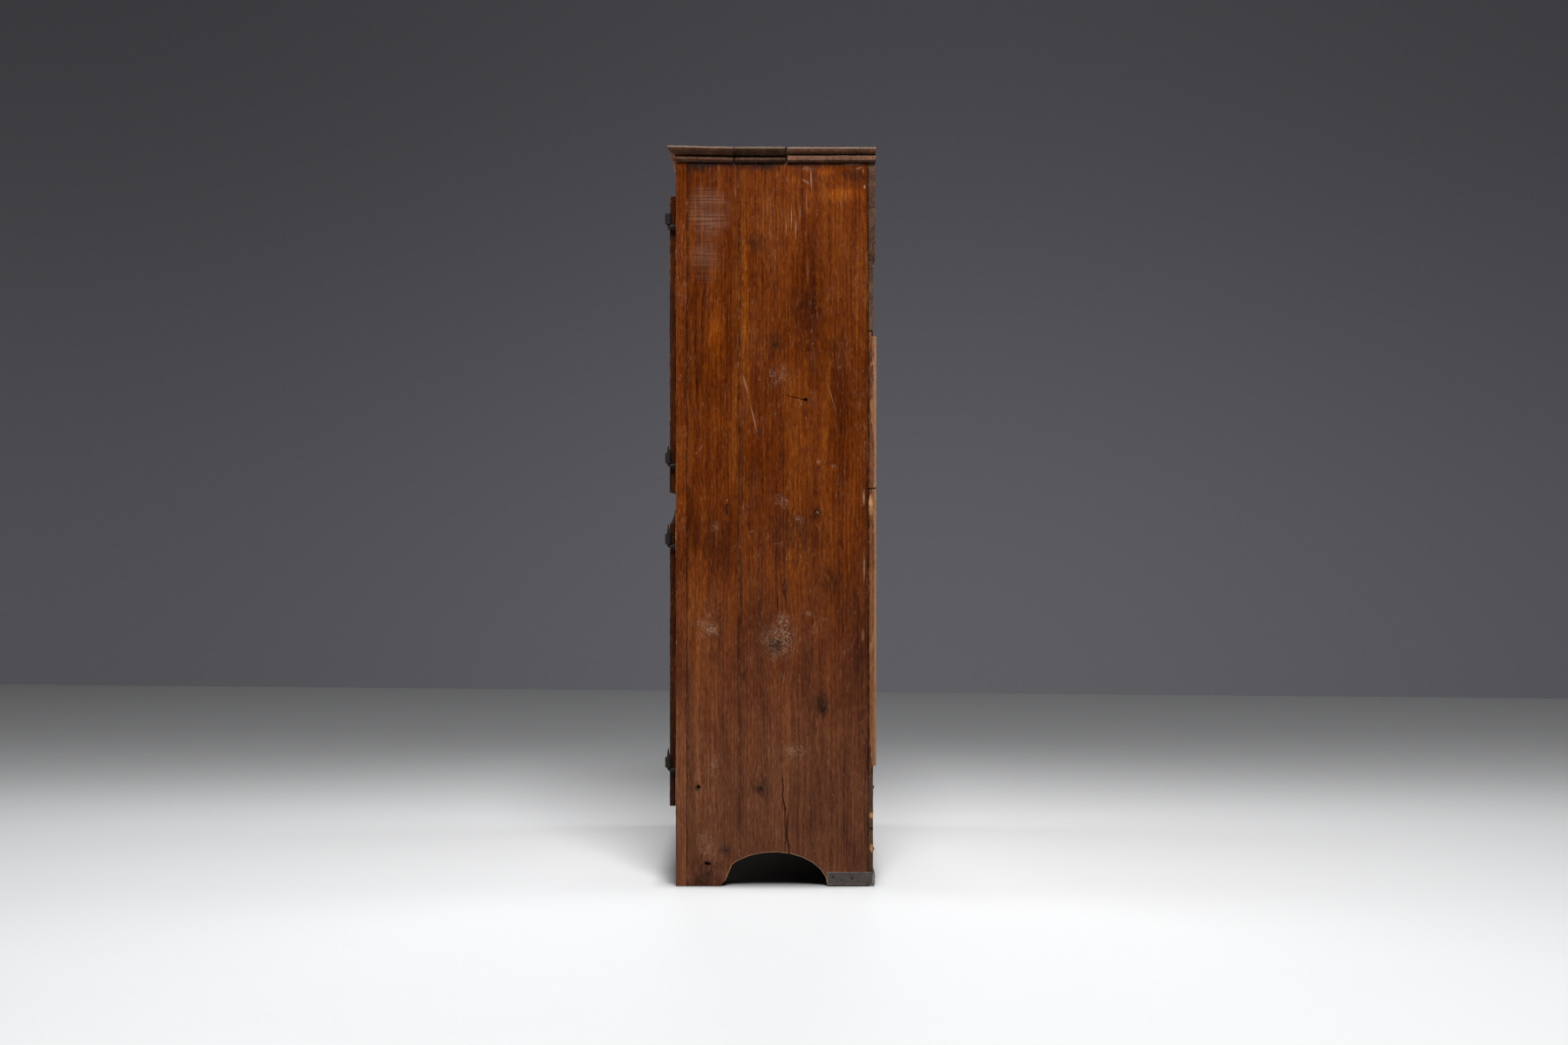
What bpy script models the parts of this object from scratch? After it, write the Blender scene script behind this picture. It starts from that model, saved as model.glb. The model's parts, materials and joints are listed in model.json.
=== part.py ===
"""A rustic four-door cupboard with boarded ends, doors on pintle hinges and turning wooden latches."""

import math

import bmesh
import bpy
from mathutils import Matrix

# Case, in metres. The front plane of the corner posts is the datum for every depth.
CASE_WIDTH = 1.020
CASE_HEIGHT = 1.800
FIT = 0.0003
OVERRUN = 0.010

# Ends
SIDE_THICKNESS = 0.024
SIDE_FRONT_BOARD_WIDTH = 0.1275
SIDE_REAR_BOARD_WIDTH = 0.3130

# Arch between the feet of each end
ARCH_FRONT = 0.108
ARCH_WIDTH = 0.261
ARCH_RISE = 0.0826
ARCH_TOE_LENGTH = 0.014
ARCH_TOE_RISE = 0.0148
ARCH_SPRING_ANGLE = math.radians(40)
ARCH_STEPS = 18

# Front frame
POST_THICKNESS = 0.0275
POST_WIDTH = 0.085
TENON_THICKNESS = 0.009
TENON_LENGTH = 0.045
TENON_SHOULDER = 0.014
TENON_ROOT = 0.006
FRIEZE_HEIGHT = 0.084
FOOT_RAIL_BOTTOM = 0.070
FOOT_RAIL_ARCH_RISE = 0.035
FOOT_RAIL_ARCH_MARGIN = 0.090
FOOT_RAIL_ARCH_STEPS = 14

# Moulded top: three boards, with the moulding worked on the front edge and both ends
TOP_THICKNESS = 0.038
TOP_OVERHANG = 0.020
TOP_FRONT_BOARD_WIDTH = 0.163
TOP_MIDDLE_BOARD_WIDTH = 0.129
TOP_REAR_BOARD_WIDTH = 0.215
# Each pair is a share of the thickness below the surface and a share of the overhang.
MOULDING_SHARES = (
    (1.00, 0.00),
    (0.97, 0.12),
    (0.87, 0.25),
    (0.76, 0.22),
    (0.71, 0.08),
    (0.64, 0.08),
    (0.60, 0.28),
    (0.55, 0.34),
    (0.44, 0.56),
    (0.29, 0.82),
    (0.13, 0.97),
    (0.03, 1.00),
    (0.00, 0.96),
)

# Back
BACK_THICK_PLANK = 0.019
BACK_THIN_PLANK = 0.014
BACK_BOARD_THICKNESS = 0.0217
BACK_TOP_PLANK_HEIGHT = 0.112
BACK_SECOND_PLANK_HEIGHT = 0.127
BACK_THIRD_PLANK_HEIGHT = 0.184
BACK_FOOT_SEAM = 0.292
BACK_FOOT_LIFT = 0.003
BACK_LAP_THICKNESS = 0.009
BACK_UPPER_LAP = 0.012
BACK_FOOT_LAP = 0.017
BACK_BOARD_COUNT = 3

# Floor and shelves, housed in grooves across the ends
FLOOR_THICKNESS = 0.022
SHELF_THICKNESS = 0.020
SHELF_LIP = 0.006
HOUSING_DEPTH = 0.008
UPPER_SHELF_RISE = 0.428
LOWER_SHELF_RISE = 0.400
SHELF_SETBACK = 0.030

# Doors: two boards each, held together by two battens on the inside
DOOR_SIDE_MARGIN = 0.065
DOOR_MEETING_GAP = 0.003
DOOR_THICKNESS = 0.015
DOOR_CLEARANCE = 0.0033
DOOR_OVERLAP = 0.020
DOOR_TOP_OVERLAP = 0.012
DOOR_TOP_RISE = 0.050
DOOR_TOP_STEPS = 12
DOOR_SEAM = 0.0006
HINGE_BOARD_WIDTH = 0.240
UPPER_DOOR_BOTTOM = 0.958
LOWER_DOOR_BOTTOM = 0.186
LOWER_DOOR_TOP = 0.885
BATTEN_HEIGHT = 0.044
BATTEN_THICKNESS = 0.018
BATTEN_HINGE_SETBACK = 0.045
BATTEN_LATCH_SETBACK = 0.014
BATTEN_TAPER = 0.006

# Pintle hinges
HINGE_FORWARD = 0.0205
HINGE_OUTBOARD = 0.010
EYE_RADIUS = 0.0083
EYE_HEIGHT = 0.0255
EYE_SIDES = 16
PIN_RADIUS = 0.004
PIN_CLEARANCE = 0.0006
SHANK_RADIUS = 0.005
SHANK_DEPTH = 0.022
SHANK_TIP_RADIUS = 0.002
ELBOW_RADIUS = 0.006
ELBOW_STEPS = 4
PIN_TIP_RADIUS = 0.0012
# Heights of each door's two eyes: the lower one above its bottom edge, the upper one below its top corner
UPPER_DOOR_EYE_INSETS = (0.073, 0.071)
LOWER_DOOR_EYE_INSETS = (0.097, 0.053)
UPPER_DOOR_PIN_RISES = (0.017, -0.002)
LOWER_DOOR_PIN_RISES = (0.021, 0.023)
STRAP_THICKNESS = 0.003
STRAP_LENGTH = 0.300
# Each pair is a share of the strap's length from the pin and a share of half the eye's height.
STRAP_SHARES = (
    (0.02, 0.94),
    (0.30, 0.80),
    (0.76, 0.54),
    (0.80, 0.56),
    (0.85, 0.92),
    (0.90, 1.00),
    (0.95, 0.70),
    (1.00, 0.10),
)

# Turning latches
LATCH_INSET = 0.035
UPPER_LATCH_RISE = 0.357
LOWER_LATCH_RISE = 0.374
KNOB_LENGTH = 0.022
KNOB_RADIUS = 0.016
SPINDLE_RADIUS = 0.006
SPINDLE_CLEARANCE = 0.0005
SPINDLE_SQUARE = 0.008
SPINDLE_END = 0.003
KNOB_STEPS = 20
# Each pair is a share of the knob's length from the door and a share of its radius, outer end first.
KNOB_SHARES = (
    (1.00, 0.00),
    (0.98, 0.40),
    (0.90, 0.76),
    (0.76, 0.97),
    (0.60, 1.00),
    (0.44, 0.88),
    (0.32, 0.60),
    (0.20, 0.52),
    (0.12, 0.70),
    (0.00, 0.72),
)
TONGUE_THICKNESS = 0.010
TONGUE_CLEARANCE = 0.002
TONGUE_WIDTH = 0.018
TONGUE_REACH = 0.040
TONGUE_TAIL = 0.010
TONGUE_STEPS = 6

# Iron plate on the right rear foot
PLATE_THICKNESS = 0.002
PLATE_BOTTOM = 0.004
PLATE_HEIGHT = 0.031
PLATE_REAR_LENGTH = 0.060
PLATE_CORNER_RADIUS = 0.003
PLATE_CORNER_STEPS = 4

# Sizes that follow from those above
HALF_WIDTH = CASE_WIDTH / 2
SIDE_INNER = HALF_WIDTH - SIDE_THICKNESS
SIDE_TOP = CASE_HEIGHT - TOP_THICKNESS
SIDE_FRONT_SEAM = POST_THICKNESS + SIDE_FRONT_BOARD_WIDTH
SIDE_REAR = SIDE_FRONT_SEAM + SIDE_REAR_BOARD_WIDTH
BACK_FRONT = SIDE_REAR + FIT
BACK_REAR = BACK_FRONT + BACK_BOARD_THICKNESS
DOOR_BACK = DOOR_CLEARANCE
DOOR_FRONT = DOOR_BACK + DOOR_THICKNESS
FRONT_REACH = DOOR_FRONT + FIT + KNOB_LENGTH
DATUM = (FRONT_REACH - BACK_REAR) / 2
DOOR_WIDTH = (CASE_WIDTH - 2 * DOOR_SIDE_MARGIN - DOOR_MEETING_GAP) / 2
DOOR_HINGE_EDGE = HALF_WIDTH - DOOR_SIDE_MARGIN
HINGE_X = DOOR_HINGE_EDGE + HINGE_OUTBOARD
FRIEZE_BOTTOM = SIDE_TOP - FRIEZE_HEIGHT
UPPER_DOOR_TOP = FRIEZE_BOTTOM + DOOR_TOP_OVERLAP
MIDDLE_RAIL_TOP = UPPER_DOOR_BOTTOM + DOOR_OVERLAP
MIDDLE_RAIL_BOTTOM = LOWER_DOOR_TOP - DOOR_TOP_OVERLAP
FOOT_RAIL_TOP = LOWER_DOOR_BOTTOM + DOOR_OVERLAP
OPENING_HALF = HALF_WIDTH - POST_WIDTH
BACK_FIRST_SEAM = SIDE_TOP - BACK_TOP_PLANK_HEIGHT
BACK_SECOND_SEAM = BACK_FIRST_SEAM - BACK_SECOND_PLANK_HEIGHT
BACK_THIRD_SEAM = BACK_SECOND_SEAM - BACK_THIRD_PLANK_HEIGHT
FLOOR_TOP = FOOT_RAIL_TOP - SHELF_LIP
DIVIDER_TOP = MIDDLE_RAIL_TOP - SHELF_LIP
LOWER_SHELF_TOP = FLOOR_TOP + LOWER_SHELF_RISE
UPPER_SHELF_TOP = DIVIDER_TOP + UPPER_SHELF_RISE

# Rotations that stand a flat outline up, facing along X and along -Y
FACING_X = (math.pi / 2, 0, math.pi / 2)
FACING_FRONT = (math.pi / 2, 0, 0)


def clear_scene():
    for obj in list(bpy.data.objects):
        bpy.data.objects.remove(obj, do_unlink=True)


def new_collection(name):
    collection = bpy.data.collections.new(name)
    bpy.context.scene.collection.children.link(collection)
    return collection


def new_material(name, colour, roughness, metallic=0.0):
    material = bpy.data.materials.new(name)
    material.use_nodes = True
    shader = material.node_tree.nodes["Principled BSDF"]
    shader.inputs["Base Color"].default_value = (*colour, 1.0)
    shader.inputs["Roughness"].default_value = roughness
    shader.inputs["Metallic"].default_value = metallic
    return material


clear_scene()
PARTS = new_collection("cupboard")
CUTTERS = new_collection("cutters")
WAXED_WALNUT = new_material("waxed_walnut", (0.19, 0.072, 0.022), 0.42)
RAW_BACK_WOOD = new_material("raw_back_wood", (0.17, 0.095, 0.052), 0.70)
INSIDE_WOOD = new_material("inside_wood", (0.22, 0.125, 0.060), 0.75)
WROUGHT_IRON = new_material("wrought_iron", (0.045, 0.040, 0.038), 0.50, 0.9)
TURNED_WOOD = new_material("turned_wood", (0.12, 0.050, 0.020), 0.38)


def link(obj, material=None, parent=None, collection=None):
    """Puts a new object in its collection, gives it its finish and hangs it on its parent."""
    (collection or PARTS).objects.link(obj)
    if material:
        obj.data.materials.append(material)
    if parent:
        obj.location = (
            obj.location[0] - parent["x"],
            obj.location[1] - parent["y"],
            obj.location[2] - parent["z"],
        )
        obj.parent = parent["empty"]
    return obj


def as_cutter(obj):
    obj.hide_render = True
    obj.display_type = "WIRE"
    return obj


def add_box(bm, low, high):
    """Adds a box between two corners to a mesh under construction."""
    verts = bmesh.ops.create_cube(bm, size=1)["verts"]
    size = [high[i] - low[i] for i in range(3)]
    centre = [(high[i] + low[i]) / 2 for i in range(3)]
    bmesh.ops.scale(bm, vec=size, verts=verts)
    bmesh.ops.translate(bm, vec=centre, verts=verts)


def mesh_object(name, bm, location=(0, 0, 0), rotation=(0, 0, 0)):
    mesh = bpy.data.meshes.new(name)
    bm.to_mesh(mesh)
    bm.free()
    obj = bpy.data.objects.new(name, mesh)
    obj.location = location
    obj.rotation_euler = rotation
    return obj


def board(name, low, high, material, parent=None):
    """A plain board between two corners, with its origin at its middle."""
    centre = [(high[i] + low[i]) / 2 for i in range(3)]
    half = [(high[i] - low[i]) / 2 for i in range(3)]
    bm = bmesh.new()
    add_box(bm, [-value for value in half], half)
    return link(mesh_object(name, bm, centre), material, parent)


def outline_curve(name, points, thickness, location, rotation):
    """A flat outline of some thickness, whose middle plane passes through the location."""
    data = bpy.data.curves.new(name, "CURVE")
    data.dimensions = "2D"
    data.fill_mode = "BOTH"
    data.extrude = thickness / 2
    spline = data.splines.new("POLY")
    spline.points.add(len(points) - 1)
    for point, (across, up) in zip(spline.points, points):
        point.co = (across, up, 0, 1)
    spline.use_cyclic_u = True
    obj = bpy.data.objects.new(name, data)
    obj.location = location
    obj.rotation_euler = rotation
    return obj


def to_mesh(curve):
    """The same shape as a mesh with its caps welded, so that it can be cut."""
    bpy.context.scene.collection.objects.link(curve)
    bpy.context.view_layer.update()
    graph = bpy.context.evaluated_depsgraph_get()
    mesh = bpy.data.meshes.new_from_object(curve.evaluated_get(graph))
    bm = bmesh.new()
    bm.from_mesh(mesh)
    bmesh.ops.remove_doubles(bm, verts=bm.verts, dist=FIT / 10)
    bmesh.ops.recalc_face_normals(bm, faces=bm.faces)
    bm.to_mesh(mesh)
    bm.free()
    name = curve.name
    obj = bpy.data.objects.new(name, mesh)
    obj.matrix_world = curve.matrix_world
    bpy.data.objects.remove(curve)
    obj.name = name
    return obj


def cutter_boxes(name, boxes):
    """One cutter made of separate boxes, each given by its two corners."""
    bm = bmesh.new()
    for low, high in boxes:
        add_box(bm, low, high)
    return as_cutter(link(mesh_object(name, bm), collection=CUTTERS))


def boolean(obj, cutter, operation="DIFFERENCE"):
    modifier = obj.modifiers.new(cutter.name, "BOOLEAN")
    modifier.object = cutter
    modifier.operation = operation
    modifier.solver = "EXACT"


def grown(box, amount):
    low, high = box
    return [value - amount for value in low], [value + amount for value in high]


def arch_point(angle):
    """A point of the ellipse that the arch follows, as depth behind the datum and height."""
    centre = ARCH_FRONT + ARCH_WIDTH / 2
    return centre - ARCH_WIDTH / 2 * math.cos(angle), ARCH_RISE * math.sin(angle)


def arch_angle(depth):
    centre = ARCH_FRONT + ARCH_WIDTH / 2
    return math.acos((centre - depth) / (ARCH_WIDTH / 2))


def arch_between(first, last):
    steps = ARCH_STEPS // 2
    return [arch_point(first + (last - first) * i / steps) for i in range(steps + 1)]


def shelf_rows():
    """The floor and the shelves: name, top surface, thickness and front edge."""
    front = DATUM + POST_THICKNESS + FIT
    return (
        ("case_floor", FLOOR_TOP, FLOOR_THICKNESS, front),
        ("lower_shelf", LOWER_SHELF_TOP, SHELF_THICKNESS, front + SHELF_SETBACK),
        ("dividing_shelf", DIVIDER_TOP, FLOOR_THICKNESS, front),
        ("upper_shelf", UPPER_SHELF_TOP, SHELF_THICKNESS, front + SHELF_SETBACK),
    )


def shelf_box(row):
    _name, top, thickness, edge = row
    reach = SIDE_INNER + HOUSING_DEPTH - FIT
    return (-reach, edge, top - thickness), (reach, DATUM + SIDE_REAR - FIT, top)


def make_shelves():
    for row in shelf_rows():
        low, high = shelf_box(row)
        board(row[0], low, high, INSIDE_WOOD)


def make_ends():
    """Both ends: a front and a rear board, with the arch between the feet cut across both."""
    seam = SIDE_FRONT_SEAM
    top = SIDE_TOP - FIT
    split = arch_angle(seam)
    front_outline = [(POST_THICKNESS + FIT, top), (POST_THICKNESS + FIT, 0), (ARCH_FRONT, 0)]
    front_outline.append((ARCH_FRONT + ARCH_TOE_LENGTH, ARCH_TOE_RISE))
    front_outline += [(y - FIT, z) for y, z in arch_between(ARCH_SPRING_ANGLE, split)]
    front_outline.append((seam - FIT, top))
    rear_outline = [(seam, top)] + arch_between(split, math.pi)
    rear_outline += [(SIDE_REAR, 0), (SIDE_REAR, top)]
    housings = cutter_boxes("shelf_housings", [grown(shelf_box(row), FIT) for row in shelf_rows()])
    for side, word in ((1, "right"), (-1, "left")):
        middle = side * (HALF_WIDTH - SIDE_THICKNESS / 2)
        for name, outline in (("side_front_board", front_outline), ("side_rear_board", rear_outline)):
            curve = outline_curve(f"{name}_{word}", outline, SIDE_THICKNESS, (middle, DATUM, 0), FACING_X)
            end = link(to_mesh(curve), WAXED_WALNUT)
            boolean(end, housings)


def rail_boxes(half, bottom, top):
    """The two tenons of a rail of the front frame, rooted inside the rail."""
    low_y = DATUM + (POST_THICKNESS - TENON_THICKNESS) / 2
    high_y = low_y + TENON_THICKNESS
    boxes = []
    for side in (1, -1):
        ends = sorted((side * (half - TENON_ROOT), side * (half + TENON_LENGTH)))
        low = (ends[0], low_y, bottom + TENON_SHOULDER)
        high = (ends[1], high_y, top - TENON_SHOULDER)
        boxes.append((low, high))
    return boxes


def foot_rail_outline(half):
    """The foot rail seen from the front, with a low arch in its lower edge."""
    reach = half - FOOT_RAIL_ARCH_MARGIN
    points = [(-half, FOOT_RAIL_TOP), (-half, FOOT_RAIL_BOTTOM)]
    for i in range(FOOT_RAIL_ARCH_STEPS + 1):
        across = -reach + 2 * reach * i / FOOT_RAIL_ARCH_STEPS
        lift = FOOT_RAIL_ARCH_RISE * (1 + math.cos(math.pi * across / reach)) / 2
        points.append((across, FOOT_RAIL_BOTTOM + lift))
    return points + [(half, FOOT_RAIL_BOTTOM), (half, FOOT_RAIL_TOP)]


def make_front_frame():
    """Corner posts and rails, joined by tenons, with holes in the posts for the pintle shanks."""
    front, rear = DATUM, DATUM + POST_THICKNESS
    half = OPENING_HALF - FIT
    spans = {
        "frieze_rail": (FRIEZE_BOTTOM, SIDE_TOP - FIT),
        "middle_rail": (MIDDLE_RAIL_BOTTOM, MIDDLE_RAIL_TOP),
        "foot_rail": (FOOT_RAIL_BOTTOM + TENON_SHOULDER, FOOT_RAIL_TOP),
    }
    mortises = []
    for bottom, top in spans.values():
        mortises += [grown(box, FIT) for box in rail_boxes(half, bottom, top)]
    corner_mortises = cutter_boxes("corner_post_mortises", mortises)
    holes = make_shank_holes()
    for side, word in ((1, "right"), (-1, "left")):
        ends = sorted((side * OPENING_HALF, side * HALF_WIDTH))
        low = (ends[0], front, 0)
        high = (ends[1], rear, SIDE_TOP - FIT)
        post = board(f"corner_post_{word}", low, high, WAXED_WALNUT)
        boolean(post, corner_mortises)
        boolean(post, holes)
    for name, (bottom, top) in spans.items():
        if name == "foot_rail":
            middle = (0, (front + rear) / 2, 0)
            outline = foot_rail_outline(half)
            rail = to_mesh(outline_curve(name, outline, POST_THICKNESS, middle, FACING_FRONT))
            link(rail, WAXED_WALNUT)
        else:
            rail = board(name, (-half, front, bottom), (half, rear, top), WAXED_WALNUT)
        boolean(rail, cutter_boxes(f"{name}_tenons", rail_boxes(half, bottom, top)), "UNION")


def shape_top_board(bm, front, rear, front_is_moulded):
    """Raises a flat rectangle level by level, letting its moulded edges follow the moulding."""
    verts = bmesh.ops.create_grid(bm, x_segments=1, y_segments=1, size=1)["verts"]
    face = bm.faces[:][0]
    for level, (depth_share, overhang_share) in enumerate(MOULDING_SHARES):
        if level:
            raised = bmesh.ops.extrude_face_region(bm, geom=[face])["geom"]
            if level > 1:
                bmesh.ops.delete(bm, geom=[face], context="FACES_ONLY")
            verts = [item for item in raised if isinstance(item, bmesh.types.BMVert)]
            face = next(item for item in raised if isinstance(item, bmesh.types.BMFace))
        reach = HALF_WIDTH + TOP_OVERHANG * overhang_share
        edge = front - TOP_OVERHANG * overhang_share if front_is_moulded else front
        middle = (edge + rear) / 2
        for vert in verts:
            vert.co.x = math.copysign(reach, vert.co.x)
            vert.co.y = edge if vert.co.y < middle else rear
            vert.co.z = CASE_HEIGHT - TOP_THICKNESS * depth_share
        face.normal_update()


def make_top():
    front_seam = DATUM - TOP_OVERHANG + TOP_FRONT_BOARD_WIDTH
    rear_seam = front_seam + TOP_MIDDLE_BOARD_WIDTH
    rear = rear_seam + TOP_REAR_BOARD_WIDTH
    rows = (
        ("top_front_board", DATUM, front_seam - FIT, True),
        ("top_middle_board", front_seam, rear_seam - FIT, False),
        ("top_rear_board", rear_seam, rear, False),
    )
    for name, front, back, moulded in rows:
        bm = bmesh.new()
        shape_top_board(bm, front, back, moulded)
        bmesh.ops.recalc_face_normals(bm, faces=bm.faces)
        link(mesh_object(name, bm), WAXED_WALNUT)


def make_back():
    """Three planks across the top of the back, upright boards below them, and a plank at the foot."""
    inner = BACK_FRONT
    lap = inner + BACK_LAP_THICKNESS
    thick = inner + BACK_THICK_PLANK
    thin = inner + BACK_THIN_PLANK
    top = SIDE_TOP - FIT
    across = {
        "back_plank_top": [
            (inner, BACK_FIRST_SEAM + FIT), (thick, BACK_FIRST_SEAM + FIT), (thick, top), (inner, top),
        ],
        "back_plank_second": [
            (inner, BACK_SECOND_SEAM + FIT),
            (thick, BACK_SECOND_SEAM + FIT),
            (thick, BACK_FIRST_SEAM),
            (inner, BACK_FIRST_SEAM),
        ],
        "back_plank_third": [
            (inner, BACK_THIRD_SEAM + BACK_UPPER_LAP + FIT),
            (lap + FIT, BACK_THIRD_SEAM + BACK_UPPER_LAP + FIT),
            (lap + FIT, BACK_THIRD_SEAM + FIT),
            (thin, BACK_THIRD_SEAM + FIT),
            (thin, BACK_SECOND_SEAM),
            (inner, BACK_SECOND_SEAM),
        ],
        "back_plank_foot": [
            (inner, BACK_FOOT_LIFT),
            (thin, BACK_FOOT_LIFT),
            (thin, BACK_FOOT_SEAM),
            (lap + FIT, BACK_FOOT_SEAM),
            (lap + FIT, BACK_FOOT_SEAM - BACK_FOOT_LAP - FIT),
            (inner, BACK_FOOT_SEAM - BACK_FOOT_LAP - FIT),
        ],
    }
    for name, outline in across.items():
        link(outline_curve(name, outline, CASE_WIDTH, (0, DATUM, 0), FACING_X), RAW_BACK_WOOD)
    upright = [
        (inner, BACK_FOOT_SEAM - BACK_FOOT_LAP),
        (lap, BACK_FOOT_SEAM - BACK_FOOT_LAP),
        (lap, BACK_FOOT_SEAM + FIT),
        (BACK_REAR, BACK_FOOT_SEAM + FIT),
        (BACK_REAR, BACK_THIRD_SEAM),
        (lap, BACK_THIRD_SEAM),
        (lap, BACK_THIRD_SEAM + BACK_UPPER_LAP),
        (inner, BACK_THIRD_SEAM + BACK_UPPER_LAP),
    ]
    pitch = CASE_WIDTH / BACK_BOARD_COUNT
    for i in range(BACK_BOARD_COUNT):
        middle = HALF_WIDTH - pitch * (i + 0.5)
        name = f"back_board_{i + 1}"
        curve = outline_curve(name, upright, pitch - FIT, (middle, DATUM, 0), FACING_X)
        link(curve, RAW_BACK_WOOD)


class Door:
    """One door's side, heights and hinges, and the height of its latch if it has one."""

    def __init__(self, level, side, bottom, top, eye_insets, pin_rises, latch_rise):
        self.side = side
        self.word = f"{level}_{'right' if side > 0 else 'left'}"
        self.bottom = bottom
        self.top = top
        self.eyes = (bottom + eye_insets[0], top - eye_insets[1])
        self.pin_rises = pin_rises
        self.latch_height = bottom + latch_rise if side > 0 else None


def all_doors():
    rows = (
        (
            "upper",
            UPPER_DOOR_BOTTOM,
            UPPER_DOOR_TOP,
            UPPER_DOOR_EYE_INSETS,
            UPPER_DOOR_PIN_RISES,
            UPPER_LATCH_RISE,
        ),
        (
            "lower",
            LOWER_DOOR_BOTTOM,
            LOWER_DOOR_TOP,
            LOWER_DOOR_EYE_INSETS,
            LOWER_DOOR_PIN_RISES,
            LOWER_LATCH_RISE,
        ),
    )
    return [Door(row[0], side, *row[1:]) for row in rows for side in (1, -1)]


def shank_height(eye):
    return eye - FIT - SHANK_RADIUS


def make_shank_holes():
    """Round holes in the front of both corner posts, where the pintles are driven in."""
    bm = bmesh.new()
    depth = SHANK_DEPTH + FIT + OVERRUN
    middle_y = DATUM + SHANK_DEPTH + FIT - depth / 2
    radius = SHANK_RADIUS + 2 * FIT
    lying = Matrix.Rotation(math.pi / 2, 4, "X")
    for side, eye in [(door.side, eye) for door in all_doors() for eye in door.eyes]:
        place = Matrix.Translation((side * HINGE_X, middle_y, shank_height(eye))) @ lying
        bmesh.ops.create_cone(
            bm,
            cap_ends=True,
            segments=EYE_SIDES,
            radius1=radius,
            radius2=radius,
            depth=depth,
            matrix=place,
        )
    return as_cutter(link(mesh_object("shank_holes", bm), collection=CUTTERS))


def pintle_path(rise, eye):
    """Points of one pintle and their radii, as depth from the datum and height."""
    level = shank_height(eye)
    bend_y = ELBOW_RADIUS - HINGE_FORWARD
    points = [(SHANK_DEPTH, level, SHANK_TIP_RADIUS), (0, level, SHANK_RADIUS)]
    for i in range(ELBOW_STEPS + 1):
        angle = math.pi / 2 * i / ELBOW_STEPS
        radius = SHANK_RADIUS + (PIN_RADIUS - SHANK_RADIUS) * i / ELBOW_STEPS
        y = bend_y - ELBOW_RADIUS * math.sin(angle)
        points.append((y, level + ELBOW_RADIUS * (1 - math.cos(angle)), radius))
    shoulder = eye + EYE_HEIGHT + min(rise, 0)
    points.append((-HINGE_FORWARD, shoulder, PIN_RADIUS))
    if rise > 0:
        points.append((-HINGE_FORWARD, shoulder + rise, PIN_TIP_RADIUS))
    return points


def make_pintles():
    """The pintle hooks: forged rods driven into the posts, each turned up into a pin."""
    for door in all_doors():
        for place, eye, rise in zip(("bottom", "top"), door.eyes, door.pin_rises):
            name = f"{door.word}_{place}_pintle"
            data = bpy.data.curves.new(name, "CURVE")
            data.dimensions = "3D"
            data.bevel_depth = PIN_RADIUS
            data.bevel_resolution = 2
            data.use_fill_caps = True
            path = pintle_path(rise, eye)
            spline = data.splines.new("POLY")
            spline.points.add(len(path) - 1)
            for point, (y, z, radius) in zip(spline.points, path):
                point.co = (0, y, z - eye, 1)
                point.radius = radius / PIN_RADIUS
            obj = bpy.data.objects.new(name, data)
            obj.location = (door.side * HINGE_X, DATUM, eye)
            link(obj, WROUGHT_IRON)


def door_rise(along):
    """How far the door's shaped top stands above its hinge corner, at a distance from the hinge edge."""
    return DOOR_TOP_RISE * (1 - math.cos(math.pi * along / DOOR_WIDTH)) / 2


def shaped_edge(first, last, height):
    """The shaped top line between two distances from the hinge edge, at a height of its own."""
    steps = max(2, math.ceil(DOOR_TOP_STEPS * abs(last - first) / DOOR_WIDTH))
    places = [first + (last - first) * i / steps for i in range(steps + 1)]
    return [(along, height + door_rise(along)) for along in places]


def pivot(name, x, y, z, parent=None):
    """An empty on a joint's axis, with its place kept beside it for what hangs on it."""
    empty = bpy.data.objects.new(name, None)
    empty.location = (x, y, z)
    link(empty, parent=parent)
    return {"empty": empty, "x": x, "y": y, "z": z}


def door_board(name, side, points, back, thickness):
    """A board in the plane of a door, given by distances from the hinge edge."""
    middle_y = DATUM - back - thickness / 2
    turned = [(-side * along, up) for along, up in points]
    return outline_curve(name, turned, thickness, (side * DOOR_HINGE_EDGE, middle_y, 0), FACING_FRONT)


def make_strap(name, side, eye, axis):
    """A strap forged in one with the eye that turns on the pintle's pin."""
    axis_x = side * HINGE_X
    middle = eye + EYE_HEIGHT / 2
    upper = [(STRAP_LENGTH * along, EYE_HEIGHT / 2 * width) for along, width in STRAP_SHARES]
    lower = [(along, -width) for along, width in reversed(upper)]
    points = [(-side * along, up) for along, up in upper + lower]
    strap_y = DATUM - DOOR_FRONT - FIT - STRAP_THICKNESS / 2
    place = (axis_x, strap_y, middle)
    strap = to_mesh(outline_curve(name, points, STRAP_THICKNESS, place, FACING_FRONT))
    for part, radius, height, operation in (
        ("eye", EYE_RADIUS, EYE_HEIGHT, "UNION"),
        ("bore", PIN_RADIUS + PIN_CLEARANCE, EYE_HEIGHT + 2 * OVERRUN, "DIFFERENCE"),
    ):
        bm = bmesh.new()
        bmesh.ops.create_cone(
            bm, cap_ends=True, segments=EYE_SIDES, radius1=radius, radius2=radius, depth=height
        )
        solid = mesh_object(f"{name}_{part}", bm, (axis_x, DATUM - HINGE_FORWARD, middle))
        boolean(strap, as_cutter(link(solid, collection=CUTTERS)), operation)
    link(strap, WROUGHT_IRON, axis)


def knob_profile():
    """The turned knob and the round part of its spindle, from the knob's face inwards."""
    points = [(KNOB_RADIUS * wide, KNOB_LENGTH * along) for along, wide in KNOB_SHARES]
    points.append((SPINDLE_RADIUS, 0))
    points.append((SPINDLE_RADIUS, -DOOR_THICKNESS))
    points.append((0, -DOOR_THICKNESS))
    return points


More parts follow.
